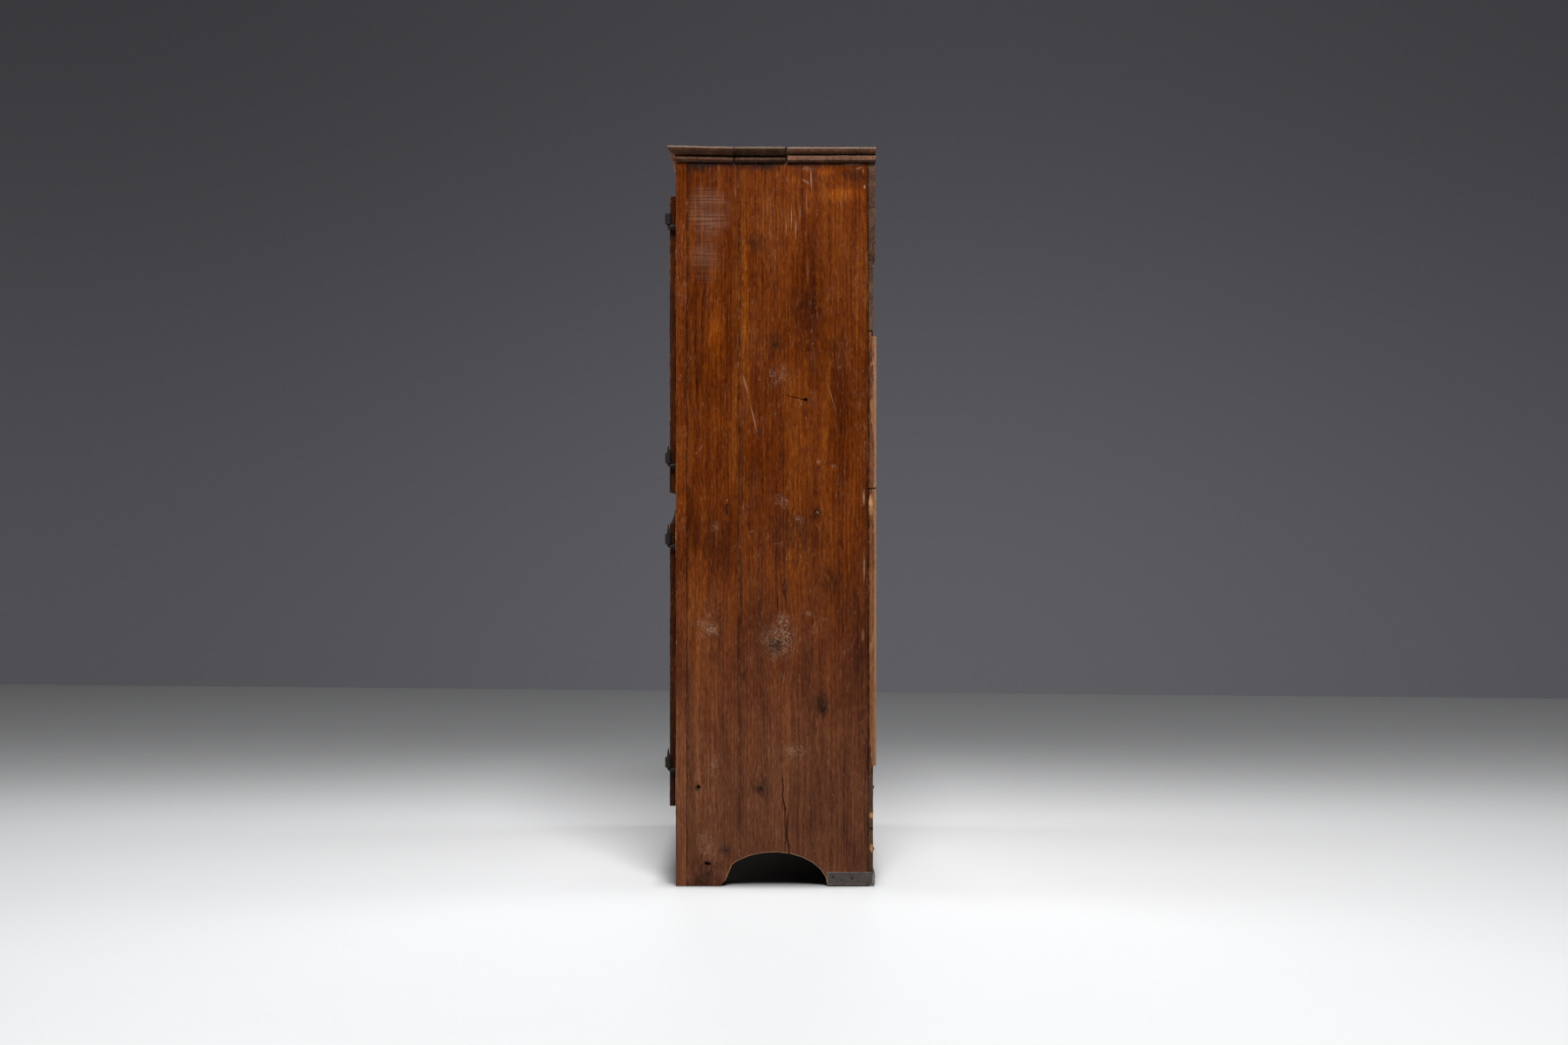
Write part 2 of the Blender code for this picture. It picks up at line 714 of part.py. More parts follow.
def make_latch(name, side, height, door):
    """A turned knob whose squared spindle carries a tongue that turns behind the other door."""
    axis_x = side * (DOOR_HINGE_EDGE - DOOR_WIDTH + LATCH_INSET)
    face_y = DATUM - DOOR_FRONT
    spindle = pivot(f"{name}_spindle_axis", axis_x, face_y, height, door)
    mesh = bpy.data.meshes.new(f"{name}_knob")
    bm = bmesh.new()
    verts = [bm.verts.new((radius, 0, along)) for radius, along in knob_profile()]
    for first, second in zip(verts, verts[1:]):
        bm.edges.new((first, second))
    bm.to_mesh(mesh)
    bm.free()
    knob = bpy.data.objects.new(f"{name}_knob", mesh)
    knob.location = (axis_x, face_y - FIT, height)
    knob.rotation_euler = FACING_FRONT
    turned = knob.modifiers.new("turned", "SCREW")
    turned.steps = KNOB_STEPS
    turned.render_steps = KNOB_STEPS
    turned.use_merge_vertices = True
    turned.merge_threshold = FIT / 10
    turned.use_smooth_shade = True
    tongue_front = DATUM - DOOR_BACK + TONGUE_CLEARANCE
    tongue_rear = tongue_front + TONGUE_THICKNESS
    half = SPINDLE_SQUARE / 2
    low = (axis_x - half, face_y + DOOR_THICKNESS / 2, height - half)
    high = (axis_x + half, tongue_rear + SPINDLE_END, height + half)
    boolean(knob, cutter_boxes(f"{name}_square", [(low, high)]), "UNION")
    link(knob, TURNED_WOOD, spindle)
    socket = cutter_boxes(f"{name}_socket", [grown((low, high), FIT)])
    points = []
    for i in range(TONGUE_STEPS + 1):
        angle = math.pi * i / TONGUE_STEPS
        swing = TONGUE_WIDTH / 2
        points.append((swing * math.cos(angle), TONGUE_TAIL + swing / 2 * math.sin(angle)))
    points += [(-TONGUE_WIDTH / 2, -TONGUE_REACH), (TONGUE_WIDTH / 2, -TONGUE_REACH)]
    middle = (axis_x, (tongue_front + tongue_rear) / 2, height)
    tongue = to_mesh(outline_curve(f"{name}_tongue", points, TONGUE_THICKNESS, middle, FACING_FRONT))
    boolean(tongue, socket)
    link(tongue, TURNED_WOOD, spindle)


def spindle_hole(name, side, height):
    """The round hole through the latch board."""
    bm = bmesh.new()
    radius = SPINDLE_RADIUS + SPINDLE_CLEARANCE
    depth = DOOR_THICKNESS + 2 * OVERRUN
    bmesh.ops.create_cone(
        bm, cap_ends=True, segments=EYE_SIDES, radius1=radius, radius2=radius, depth=depth
    )
    axis_x = side * (DOOR_HINGE_EDGE - DOOR_WIDTH + LATCH_INSET)
    place = (axis_x, DATUM - DOOR_BACK - DOOR_THICKNESS / 2, height)
    return as_cutter(link(mesh_object(name, bm, place, FACING_FRONT), collection=CUTTERS))


def make_batten(name, door, eye, axis):
    """A batten across the inside of a door, behind a strap, with tapered ends."""
    near, far = BATTEN_HINGE_SETBACK, DOOR_WIDTH - BATTEN_LATCH_SETBACK
    middle = eye + EYE_HEIGHT / 2
    low, high = middle - BATTEN_HEIGHT / 2, middle + BATTEN_HEIGHT / 2
    points = [
        (near + BATTEN_TAPER, low),
        (far - BATTEN_TAPER, low),
        (far, low + BATTEN_TAPER),
        (far, high - BATTEN_TAPER),
        (far - BATTEN_TAPER, high),
        (near + BATTEN_TAPER, high),
        (near, high - BATTEN_TAPER),
        (near, low + BATTEN_TAPER),
    ]
    back = DOOR_BACK - FIT - BATTEN_THICKNESS
    batten = door_board(name, door.side, points, back, BATTEN_THICKNESS)
    link(batten, INSIDE_WOOD, axis)


def make_door(door):
    """Two boards with a shaped top, two battens, two straps and, on a right-hand door, the latch."""
    side, word = door.side, door.word
    axis = pivot(f"{word}_door_axis", side * HINGE_X, DATUM - HINGE_FORWARD, door.bottom)
    seam = HINGE_BOARD_WIDTH
    boards = (("hinge_board", 0, seam - DOOR_SEAM), ("latch_board", seam, DOOR_WIDTH))
    for part, first, last in boards:
        points = [(first, door.bottom), (last, door.bottom)] + shaped_edge(last, first, door.top)
        piece = door_board(f"{word}_{part}", side, points, DOOR_BACK, DOOR_THICKNESS)
        if part == "latch_board" and door.latch_height:
            piece = to_mesh(piece)
            boolean(piece, spindle_hole(f"{word}_spindle_hole", side, door.latch_height))
        link(piece, WAXED_WALNUT, axis)
    for place, eye in zip(("bottom", "top"), door.eyes):
        make_batten(f"{word}_{place}_batten", door, eye, axis)
        make_strap(f"{word}_{place}_strap", side, eye, axis)
    if door.latch_height:
        make_latch(word, side, door.latch_height, axis)


def make_doors():
    for door in all_doors():
        make_door(door)


def make_foot_plate():
    """An iron strip bent round the right rear foot."""
    inner_x = HALF_WIDTH + FIT
    outer_x = inner_x + PLATE_THICKNESS
    inner_y = BACK_FRONT + BACK_THIN_PLANK + FIT
    outer_y = inner_y + PLATE_THICKNESS
    start_y = ARCH_FRONT + ARCH_WIDTH
    start_x = inner_x - PLATE_REAR_LENGTH
    points = [(start_x, inner_y), (inner_x, inner_y), (inner_x, start_y), (outer_x, start_y)]
    for i in range(PLATE_CORNER_STEPS + 1):
        angle = math.pi / 2 * i / PLATE_CORNER_STEPS
        x = outer_x - PLATE_CORNER_RADIUS * (1 - math.cos(angle))
        points.append((x, outer_y - PLATE_CORNER_RADIUS * (1 - math.sin(angle))))
    points.append((start_x, outer_y))
    middle = (0, DATUM, PLATE_BOTTOM + PLATE_HEIGHT / 2)
    link(outline_curve("foot_plate", points, PLATE_HEIGHT, middle, (0, 0, 0)), WROUGHT_IRON)


make_ends()
make_front_frame()
make_top()
make_back()
make_shelves()
make_pintles()
make_doors()
make_foot_plate()
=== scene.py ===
"""A rustic four-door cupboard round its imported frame: worn boards, forged hinges and turned latches."""

import contextlib
import json
import math

import bmesh
import bpy
from bpy.props import FloatProperty, FloatVectorProperty, PointerProperty
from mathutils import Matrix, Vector


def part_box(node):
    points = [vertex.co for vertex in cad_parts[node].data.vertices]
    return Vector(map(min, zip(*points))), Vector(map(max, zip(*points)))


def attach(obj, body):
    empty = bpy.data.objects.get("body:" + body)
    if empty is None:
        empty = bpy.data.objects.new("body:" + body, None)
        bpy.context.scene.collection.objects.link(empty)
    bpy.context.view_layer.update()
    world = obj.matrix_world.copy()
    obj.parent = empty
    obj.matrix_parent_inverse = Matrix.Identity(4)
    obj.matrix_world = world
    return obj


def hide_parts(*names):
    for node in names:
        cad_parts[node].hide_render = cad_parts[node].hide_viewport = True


bl_info = {
    "name": "Rustic cupboard",
    "version": (1, 0, 0),
    "blender": (4, 5, 0),
    "location": "View3D > Sidebar > Cupboard",
    "description": "Worn boards, forged hinges and turned latches for a four-door cupboard",
    "category": "Object",
}

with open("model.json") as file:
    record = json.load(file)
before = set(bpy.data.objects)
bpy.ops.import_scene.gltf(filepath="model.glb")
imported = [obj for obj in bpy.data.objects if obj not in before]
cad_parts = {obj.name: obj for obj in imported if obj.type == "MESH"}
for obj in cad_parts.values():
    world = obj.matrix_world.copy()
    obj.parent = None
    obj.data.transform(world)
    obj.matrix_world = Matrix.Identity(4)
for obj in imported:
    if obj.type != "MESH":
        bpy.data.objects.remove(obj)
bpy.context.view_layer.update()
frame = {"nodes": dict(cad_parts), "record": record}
RECORD = frame["record"]
BODY_OF = {node: body for body, nodes in RECORD["behaviour"]["bodies"].items() for node in nodes}
SLOT_OF = {row["node"]: row["material_slot"] for row in RECORD["subparts"]}
AXES = {"x": 0, "y": 1, "z": 2}
LOW, HIGH = 0, 1
DOORS = ("upper_right", "upper_left", "lower_right", "lower_left")
RIGHT_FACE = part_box("side_rear_board_right")[HIGH].x
FRONT_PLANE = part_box("corner_post_right")[LOW].y
STRAP_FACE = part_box("upper_right_top_strap")[LOW].y

# Fine settings of the mesh work, in metres and radians
MERGE_DISTANCE = 0.00005
NEAR = 0.0005
FLAT_ANGLE = math.radians(0.4)
ARRIS_ANGLE = math.radians(12)
SHARP_ANGLE = math.radians(28)
SQUARE_ANGLE = math.radians(50)
SMOOTH_ANGLE = math.radians(38)
# Two faces look the same way when the product of their normals passes this
SAME_WAY = 0.9995
# The level of a cloud pattern at which the surface stays in place
MOSTLY_INWARDS, MOSTLY_OUTWARDS, BOTH_WAYS = 0.85, 0.30, 0.5

# How far from a mark's middle it ends, is full and can still be felt, in its own half sizes
SPOT_EDGE = 1.15
SPOT_HEART = 0.35
SPOT_REACH = 1.6

# How much is planed off the back's outer face, so that the nails' heads stay inside the frame
BACK_PLANED = 0.0014

# Tones of the woods, linear, from the darkest pore to the palest streak, and where the grain reaches each
TONE_PLACES = (0.10, 0.36, 0.60, 0.92)
WAX_UPPER = ((0.02, 0.003, 0.0003), (0.08, 0.013, 0.0005), (0.142, 0.028, 0.001), (0.245, 0.07, 0.006))
# The waxed wood's lower tones: its own tone with more blue and green, a painted reflection of the pale floor
WAX_LOWER_WITH_FLOOR_REFLECTION = ((0.022, 0.0066, 0.0028), (0.08, 0.0235, 0.009), (0.132, 0.0425, 0.0175), (0.215, 0.088, 0.043))
WAX_DOORS = ((0.016, 0.003, 0.0004), (0.057, 0.0115, 0.0012), (0.1, 0.0223, 0.003), (0.19, 0.058, 0.012))
TOP_TONES = ((0.024, 0.0096, 0.0048), (0.079, 0.032, 0.016), (0.145, 0.062, 0.033), (0.29, 0.15, 0.092))
BACK_TONES = ((0.018, 0.008, 0.0045), (0.044, 0.019, 0.01), (0.074, 0.034, 0.019), (0.13, 0.07, 0.043))
UPRIGHT_TONES = ((0.07, 0.018, 0.0036), (0.185, 0.056, 0.0135), (0.285, 0.095, 0.028), (0.4, 0.18, 0.078))
INSIDE_TONES = ((0.06, 0.03, 0.014), (0.13, 0.072, 0.035), (0.19, 0.112, 0.058), (0.27, 0.18, 0.105))
TURNED_TONES = ((0.018, 0.006, 0.0026), (0.048, 0.016, 0.006), (0.076, 0.028, 0.011), (0.12, 0.05, 0.022))
DUST_TONE = (0.190, 0.092, 0.050)
WORN_TONE = (0.400, 0.210, 0.110)
DARK_TONE = (0.010, 0.004, 0.002)
CHIP_TONE = (0.480, 0.230, 0.090)
# Painted highlight on the rounded edge of the back's first board
RIM_HIGHLIGHT_TONE = (0.200, 0.135, 0.095)
# Tone of the dark marks: real stains, and the painted shadow under the top
STAIN_AND_SHADOW_TONE = (0.020, 0.0075, 0.0040)
SCUFF_TONE = (0.42, 0.29, 0.21)
SCRAPE_TONE = (0.44, 0.26, 0.16)
HATCH_TONE = (0.30, 0.18, 0.13)
BRIGHTER = (1.70, 1.85, 1.6)
# What the old wax multiplies the wood's tone by, from its dullest to its warmest places
PATINA = ((0.34, (0.66, 0.60, 0.54)), (0.50, (1, 1, 1)), (0.66, (1.22, 1.32, 1.26)))
# Heights between which the wood passes from its upper to its lower tones; the waxed wood's lower tones carry
# a painted reflection of the pale floor
TONES_PASS = (1.20, 0.42)
WORN_IRON = (0.052, 0.045, 0.040)
BRIGHT_IRON = (0.36, 0.34, 0.33)

# Marks on the right end: y and z of the middle, half sizes along y and z, lean in degrees, strength
PALE_MARKS = (
    (0.057, 1.628, 0.002, 0.04, 0, 0.8),
    (0.044, 1.606, 0.0016, 0.034, 2, 0.75),
    (0.068, 1.6, 0.0018, 0.036, -2, 0.8),
    (0.078, 1.64, 0.0016, 0.026, 0, 0.7),
    (0.034, 1.636, 0.0014, 0.022, 0, 0.45),
    (0.004, 1.595, 0.0016, 0.06, 0, 0.4),
    (0.105, 1.722, 0.003, 0.034, 2, 0.78),
    (0.097, 1.5, 0.0012, 0.058, 0, 0.6),
    (-0.055, 1.222, 0.0034, 0.034, 15, 0.68),
    (-0.035, 1.14, 0.003, 0.05, 13, 0.68),
    (-0.104, 1.193, 0.0012, 0.026, -4, 0.55),
    (0.155, 1.19, 0.0014, 0.055, 17, 0.66),
    (0.164, 1.12, 0.0012, 0.03, 10, 0.4),
    (-0.164, 1.066, 0.0016, 0.014, -30, 0.75),
    (-0.174, 1.054, 0.0012, 0.007, -62, 0.65),
    (0.081, 1.174, 0.0022, 0.012, 0, 0.7),
    (0.233, 0.945, 0.004, 0.028, 0, 0.8),
    (0.234, 0.775, 0.0034, 0.045, 0, 0.75),
    (0.231, 0.611, 0.005, 0.022, 0, 0.45),
    (0.205, 1.757, 0.036, 0.0026, 0, 0.8),
    (0.222, 1.748, 0.012, 0.003, 20, 0.7),
    (0.232, 1.74, 0.0024, 0.009, 10, 0.7),
    (-0.203, 1.69, 0.0014, 0.07, 0, 0.7),
    (-0.203, 1.47, 0.0012, 0.06, 0, 0.45),
    (-0.08, 1.69, 0.0012, 0.04, 0, 0.55),
    (-0.074, 1.33, 0.0012, 0.03, 0, 0.5),
    (-0.073, 1.27, 0.0016, 0.01, 0, 0.75),
    (0.092, 1.715, 0.016, 0.004, -35, 0.6),
    (0.094, 1.66, 0.0016, 0.04, 3, 0.5),
    (0.235, 1.702, 0.004, 0.007, 0, 0.85),
    (0.12, 0.911, 0.002, 0.008, 35, 0.9),
    (-0.0995, 0.939, 0.002, 0.005, 0, 0.8),
    (0.023, 0.834, 0.022, 0.0014, 5, 0.5),
    (-0.153, 0.175, 0.0016, 0.028, 3, 0.35),
    (0.006, 1.66, 0.01, 0.0014, 0, 0.35),
    (0.008, 1.642, 0.009, 0.0014, 0, 0.35),
    (-0.076, 0.059, 0.006, 0.0034, 20, 0.7),
)
SCUFFED_PATCHES = (
    (-0.147, 0.63, 0.036, 0.024, -20, 1.0),
    (-0.143, 0.66, 0.022, 0.018, 0, 0.75),
    (-0.16, 0.61, 0.022, 0.012, -40, 0.8),
    (0.024, 0.6, 0.062, 0.056, 20, 0.97),
    (0.038, 0.646, 0.03, 0.026, 0, 0.85),
    (0.094, 0.665, 0.022, 0.01, 0, 0.5),
    (0.136, 0.649, 0.018, 0.01, 0, 0.55),
    (0.033, 0.937, 0.034, 0.022, -20, 0.5),
    (0.076, 0.893, 0.02, 0.012, -30, 0.5),
    (0.1235, 1.034, 0.008, 0.006, 0, 1.0),
    (0.16, 1.022, 0.012, 0.01, 0, 0.4),
    (-0.128, 0.876, 0.016, 0.02, 0, 0.45),
    (-0.04, 0.863, 0.006, 0.006, 0, 0.8),
    (0.097, 1.746, 0.024, 0.009, 0, 0.6),
    (0.11, 1.19, 0.012, 0.035, 0, 0.4),
    (0.03, 1.24, 0.05, 0.04, 0, 0.28),
    (-0.13, 0.3, 0.03, 0.04, 0, 0.35),
    (0.06, 0.33, 0.06, 0.03, 0, 0.35),
    (-0.14, 0.1, 0.045, 0.06, 0, 0.4),
)
DARK_MARKS = (
    (0.016, 0.588, 0.034, 0.032, 0, 0.93),
    # The next four rows are a painted shadow under the top's moulding
    (-0.145, 1.767, 0.13, 0.032, 0, 0.97),
    (-0.02, 1.767, 0.11, 0.03, 0, 0.97),
    (0.06, 1.763, 0.08, 0.013, 0, 0.94),
    (0.19, 1.763, 0.1, 0.008, 0, 0.8),
    (-0.018, 0.237, 0.018, 0.017, 20, 0.97),
    (-0.012, 0.242, 0.05, 0.042, 0, 0.5),
    (0.133, 0.43, 0.011, 0.014, 0, 0.95),
    (0.126, 0.445, 0.036, 0.04, 0, 0.5),
    (-0.0995, 0.915, 0.006, 0.026, 0, 0.85),
    (-0.0995, 0.88, 0.009, 0.022, 0, 0.55),
    (-0.154, 0.957, 0.007, 0.007, 0, 0.7),
    (-0.062, 0.957, 0.004, 0.05, 4, 0.35),
    (0.119, 0.911, 0.014, 0.015, 0, 0.85),
    (0.112, 0.902, 0.034, 0.016, 30, 0.5),
    (0.121, 1.018, 0.006, 0.012, 0, 0.6),
    (0.092, 1.184, 0.01, 0.008, 0, 0.8),
    (0.205, 1.732, 0.038, 0.022, 0, 0.5),
    (-0.107, 0.09, 0.024, 0.02, 0, 0.5),
    (-0.17, 0.24, 0.01, 0.012, 0, 0.55),
    (-0.147, 0.056, 0.018, 0.014, 0, 0.7),
    (-0.03, 1.57, 0.06, 0.035, 0, 0.3),
    (0.148, 0.743, 0.05, 0.065, 20, 0.42),
    (0.01, 1.32, 0.06, 0.045, 0, 0.3),
    (0.095, 1.4, 0.07, 0.07, -10, 0.35),
    (0.18, 1.3, 0.05, 0.08, 0, 0.3),
    (0.04, 0.72, 0.012, 0.06, 0, 0.35),
    (0.024, 0.69, 0.003, 0.03, 3, 0.7),
    (0.21, 0.56, 0.03, 0.11, 0, 0.3),
    (0.032, 1.04, 0.01, 0.04, 0, 0.35),
    (0.06, 1.1, 0.003, 0.05, 0, 0.35),
    (-0.135, 0.85, 0.06, 0.14, 0, 0.22),
    (-0.165, 0.03, 0.09, 0.06, 0, 0.42),
    (0.037, 0.225, 0.003, 0.045, -3, 0.85),
    (0.045, 0.13, 0.0036, 0.062, -6, 0.92),
    (0.07, 0.85, 0.13, 0.12, 0, 0.3),
)
BRIGHT_PATCHES = (
    (0.172, 1.684, 0.074, 0.022, 0, 1.0),
    (0.067, 1.714, 0.028, 0.022, 0, 0.7),
    (0.136, 1.738, 0.044, 0.016, 0, 0.7),
    (-0.058, 1.4, 0.01, 0.26, 0, 0.7),
    (-0.13, 1.34, 0.05, 0.15, 0, 0.5),
    (-0.04, 1.08, 0.022, 0.16, 0, 0.45),
    (-0.12, 1.13, 0.05, 0.06, 0, 0.4),
    (0.09, 1.08, 0.03, 0.06, 0, 0.35),
    (0.005, 0.79, 0.02, 0.12, 0, 0.45),
    (0.15, 0.38, 0.06, 0.14, 0, 0.3),
    (-0.11, 0.7, 0.05, 0.06, 0, 0.3),
)
# Knots that the grain of the right end bends round: y, z and radius
KNOTS = (
    (0.022, 0.596, 0.04),
    (-0.018, 0.237, 0.024),
    (0.133, 0.43, 0.018),
    (-0.0995, 0.905, 0.016),
    (0.119, 0.911, 0.02),
    (0.124, 1.028, 0.01),
)
# Places where the right end's surface is lumpy: y, z, radius and height
LUMPS = (
    (0.022, 0.598, 0.044, 0.0042),
    (-0.147, 0.628, 0.026, 0.0028),
    (-0.018, 0.237, 0.018, 0.0026),
    (0.133, 0.43, 0.016, 0.0026),
    (-0.0995, 0.915, 0.014, 0.0024),
    (0.119, 0.911, 0.018, 0.003),
    (0.123, 1.03, 0.012, 0.0022),
    (-0.09, 0.07, 0.034, 0.0024),
)
# Cracks in the right end, as points of y and z, and the width of each
CRACKS = (
    (((0.035, 0.262), (0.0365, 0.24), (0.034, 0.222), (0.0385, 0.204), (0.042, 0.19)), 0.0026),
    (((0.042, 0.19), (0.0405, 0.16), (0.044, 0.125), (0.05, 0.1), (0.0513, 0.078)), 0.004),
    (((0.0445, 1.1965), (0.052, 1.193), (0.06, 1.1905), (0.07, 1.189), (0.088, 1.184)), 0.0014),
)
# Holes in the right end: y, z, radius and depth
HOLES = (
    (-0.169, 0.2418, 0.0058, 0.014),
    (-0.149, 0.0556, 0.006, 0.012),
    (-0.1425, 0.0548, 0.0044, 0.009),
    (0.0915, 1.184, 0.0048, 0.007),
    (-0.0165, 0.2375, 0.0024, 0.004),
    (0.135, 0.427, 0.0022, 0.004),
    (0.117, 0.914, 0.0026, 0.005),
    (-0.1, 0.928, 0.0022, 0.004),
)
# The saw's hatch: y and z of the middle, half sizes, lean and strength
HATCHES = ((-0.144, 1.64, 0.06, 0.072, 0, 1.0), (-0.152, 1.535, 0.05, 0.095, 0, 0.62))


class CupboardWood(bpy.types.PropertyGroup):
    """Sizes of the woodwork's wear, and its grain."""

    arris: FloatProperty(
        name="Arris", description="Width to which the boards' edges have worn", default=0.0013, unit="LENGTH"
    )
    wave: FloatProperty(
        name="Wave", description="Height of the hand plane's waves", default=0.0007, unit="LENGTH"
    )
    dents: FloatProperty(
        name="Dents", description="Depth of the dents along the edges", default=0.0016, unit="LENGTH"
    )
    row: FloatProperty(
        name="Row", description="Distance between the rows of a board's mesh", default=0.014, unit="LENGTH"
    )
    ring_spacing: FloatProperty(
        name="Ring spacing", description="Distance between the year rings", default=0.0075, unit="LENGTH"
    )


class CupboardIron(bpy.types.PropertyGroup):
    """Sizes and colours of the ironwork."""

    nail_radius: FloatProperty(
        name="Nail radius", description="Radius of a forged nail's head", default=0.0064, unit="LENGTH"
    )
    nail_height: FloatProperty(
        name="Nail height", description="Height of a forged nail's head", default=0.0026, unit="LENGTH"
    )
    hammering: FloatProperty(
        name="Hammering", description="Depth of the hammer marks", default=0.0006, unit="LENGTH"
    )
    colour: FloatVectorProperty(
        name="Iron", description="Colour of the forged iron", subtype="COLOR", default=(0.018, 0.015, 0.0135)
    )
    rust: FloatVectorProperty(
        name="Rust", description="Colour of the old rust", subtype="COLOR", default=(0.034, 0.018, 0.011)
    )


class CupboardStage(bpy.types.PropertyGroup):
    """The floor, the light and the camera."""

    distance: FloatProperty(
        name="Distance", description="Camera to the cupboard's end", default=5.0, unit="LENGTH"
    )
    height: FloatProperty(
        name="Height", description="Camera above the floor", default=0.8854, unit="LENGTH"
    )
    aside: FloatProperty(
        name="Aside", description="Camera to the back of the origin", default=0.039, unit="LENGTH"
    )
    lens: FloatProperty(name="Lens", description="Focal length in millimetres", default=47.2)
    key: FloatProperty(name="Key", description="Power of the large lamp overhead, in watts", default=840.0)
    fill: FloatProperty(name="Fill", description="Power of each lamp round the stage, in watts", default=32.0)
    ambient: FloatProperty(name="Ambient", description="Strength of the light from above", default=0.12)
    floor: FloatVectorProperty(
        name="Floor", description="Colour of the floor", subtype="COLOR", default=(0.640, 0.648, 0.656)
    )
    wall: FloatVectorProperty(
        name="Wall", description="Colour behind the stage", subtype="COLOR", default=(0.112, 0.109, 0.122)
    )


# Mesh work


def choose(piece):
    """Makes one piece the only selected object, and the active one."""
    bpy.ops.object.select_all(action="DESELECT")
    piece.select_set(True)
    bpy.context.view_layer.objects.active = piece


@contextlib.contextmanager
def editing(piece, kind="VERT", action="SELECT"):
    """Opens a piece in edit mode with all or nothing of it selected."""
    choose(piece)
    bpy.ops.object.mode_set(mode="EDIT")
    bpy.ops.mesh.select_mode(type=kind)
    bpy.ops.mesh.select_all(action=action)
    yield bmesh.from_edit_mesh(piece.data)
    bpy.ops.object.mode_set(mode="OBJECT")


def pick(piece, elements, test):
    """Selects those points, edges or faces of a piece in edit mode that pass a test."""
    for element in elements:
        element.select_set(test(element))
    bmesh.update_edit_mesh(piece.data)


def move_points(piece, test, move):
    """Moves the points of a piece whose places pass a test."""
    with editing(piece, "VERT", "DESELECT") as mesh:
        pick(piece, mesh.verts, lambda vert: test(vert.co))
        bpy.ops.transform.translate(value=move)


def on_axis(axis, value):
    return [value if name == axis else 0 for name in AXES]


def merged_copy(node):
    """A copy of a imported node's mesh, merged and with its flat faces made whole."""
    piece = bpy.data.objects.new(f"{node}_worn", frame["nodes"][node].data.copy())
    piece.data.materials.clear()
    bpy.context.scene.collection.objects.link(piece)
    with editing(piece):
        bpy.ops.mesh.customdata_custom_splitnormals_clear()
        bpy.ops.mesh.remove_doubles(threshold=MERGE_DISTANCE)
        bpy.ops.mesh.dissolve_limited(angle_limit=FLAT_ANGLE)
    return piece


def ease(piece, width, segments=2, sharp=SHARP_ANGLE, chosen=None, kind="worn"):
    """Rounds the sharp edges, or those whose ends pass a test, and notes the kind of the new faces."""
    flat = {tuple(round(part, 4) for part in face.normal) for face in piece.data.polygons}
    flat = [Vector(normal) for normal in flat]
    with editing(piece, "EDGE", "DESELECT") as mesh:
        if chosen:
            pick(piece, mesh.edges, lambda edge: all(chosen(vert.co) for vert in edge.verts))
        else:
            bpy.ops.mesh.edges_select_sharp(sharpness=sharp)
        bpy.ops.mesh.bevel(
            offset=width, segments=segments, profile=0.5, affect="EDGES", clamp_overlap=True
        )
        mesh = bmesh.from_edit_mesh(piece.data)
        mesh.normal_update()
        noted = mesh.faces.layers.float.get(kind) or mesh.faces.layers.float.new(kind)
        for face in mesh.faces:
            if all(face.normal.dot(normal) < SAME_WAY for normal in flat):
                face[noted] = 1.0


def cut_rows(piece, axis, spacing):
    """Cuts a piece across at equal distances, so that its surface can be shaped."""
    places = [vert.co[AXES[axis]] for vert in piece.data.vertices]
    low, high = min(places), max(places)
    count = max(1, round((high - low) / spacing))
    with editing(piece):
        for i in range(1, count):
            bpy.ops.mesh.select_all(action="SELECT")
            point = on_axis(axis, low + (high - low) * i / count)
            bpy.ops.mesh.bisect(plane_co=point, plane_no=on_axis(axis, 1))


def close_seams(piece, node, axis, reach, ends=(LOW, HIGH)):
    """Lets a board run a little into its neighbours, because its wear takes some off again."""
    for end in ends:
        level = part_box(node)[end][AXES[axis]]
        move = on_axis(axis, reach if end == HIGH else -reach)
        move_points(piece, lambda co: abs(co[AXES[axis]] - level) < NEAR, move)


def clouds(name, size, depth=2):
    texture = bpy.data.textures.get(name) or bpy.data.textures.new(name, "CLOUDS")
    texture.noise_scale = size
    texture.noise_depth = depth
    return texture


def shift_surface(piece, texture, strength, middle=MOSTLY_INWARDS, group=""):
    """Moves the surface along its normals by a cloud pattern, and keeps the result."""
    choose(piece)
    modifier = piece.modifiers.new("surface", "DISPLACE")
    modifier.texture = texture
    modifier.texture_coords = "LOCAL"
    modifier.strength = strength
    modifier.mid_level = middle
    modifier.vertex_group = group
    bpy.ops.object.modifier_apply(modifier=modifier.name)


def mark_arrises(piece):
    """A vertex group of all points that lie on a bend of the surface."""
    group = piece.vertex_groups.new(name="arris")
    mesh = bmesh.new()
    mesh.from_mesh(piece.data)
    found = [
        vert.index
        for vert in mesh.verts
        if any(edge.is_manifold and edge.calc_face_angle(0) > ARRIS_ANGLE for edge in vert.link_edges)
    ]
    mesh.free()
    group.add(found, 1.0, "REPLACE")


def weather(piece, waves, dents):
    """Gives a board the waves of a hand plane and the dents of long use."""
    wood = bpy.context.scene.cupboard_wood
    mark_arrises(piece)
    shift_surface(piece, clouds("plane_waves", 0.09), wood.wave * waves)
    shift_surface(piece, clouds("edge_dents", 0.022, 3), -wood.dents * dents, MOSTLY_OUTWARDS, "arris")


def hammer(piece, share=1.0):
    """Gives forged iron its hammer marks."""
    shift_surface(piece, clouds("hammer_marks", 0.012), bpy.context.scene.cupboard_iron.hammering * share)


def cut_away(piece, cutters):
    """Cuts helper shapes out of a piece and removes them."""
    cutter = joined("cutter", cutters)
    modifier = piece.modifiers.new("cut", "BOOLEAN")
    modifier.operation = "DIFFERENCE"
    modifier.solver = "EXACT"
    modifier.use_self = True
    modifier.object = cutter
    choose(piece)
    bpy.ops.object.modifier_apply(modifier=modifier.name)
    bpy.data.objects.remove(cutter)


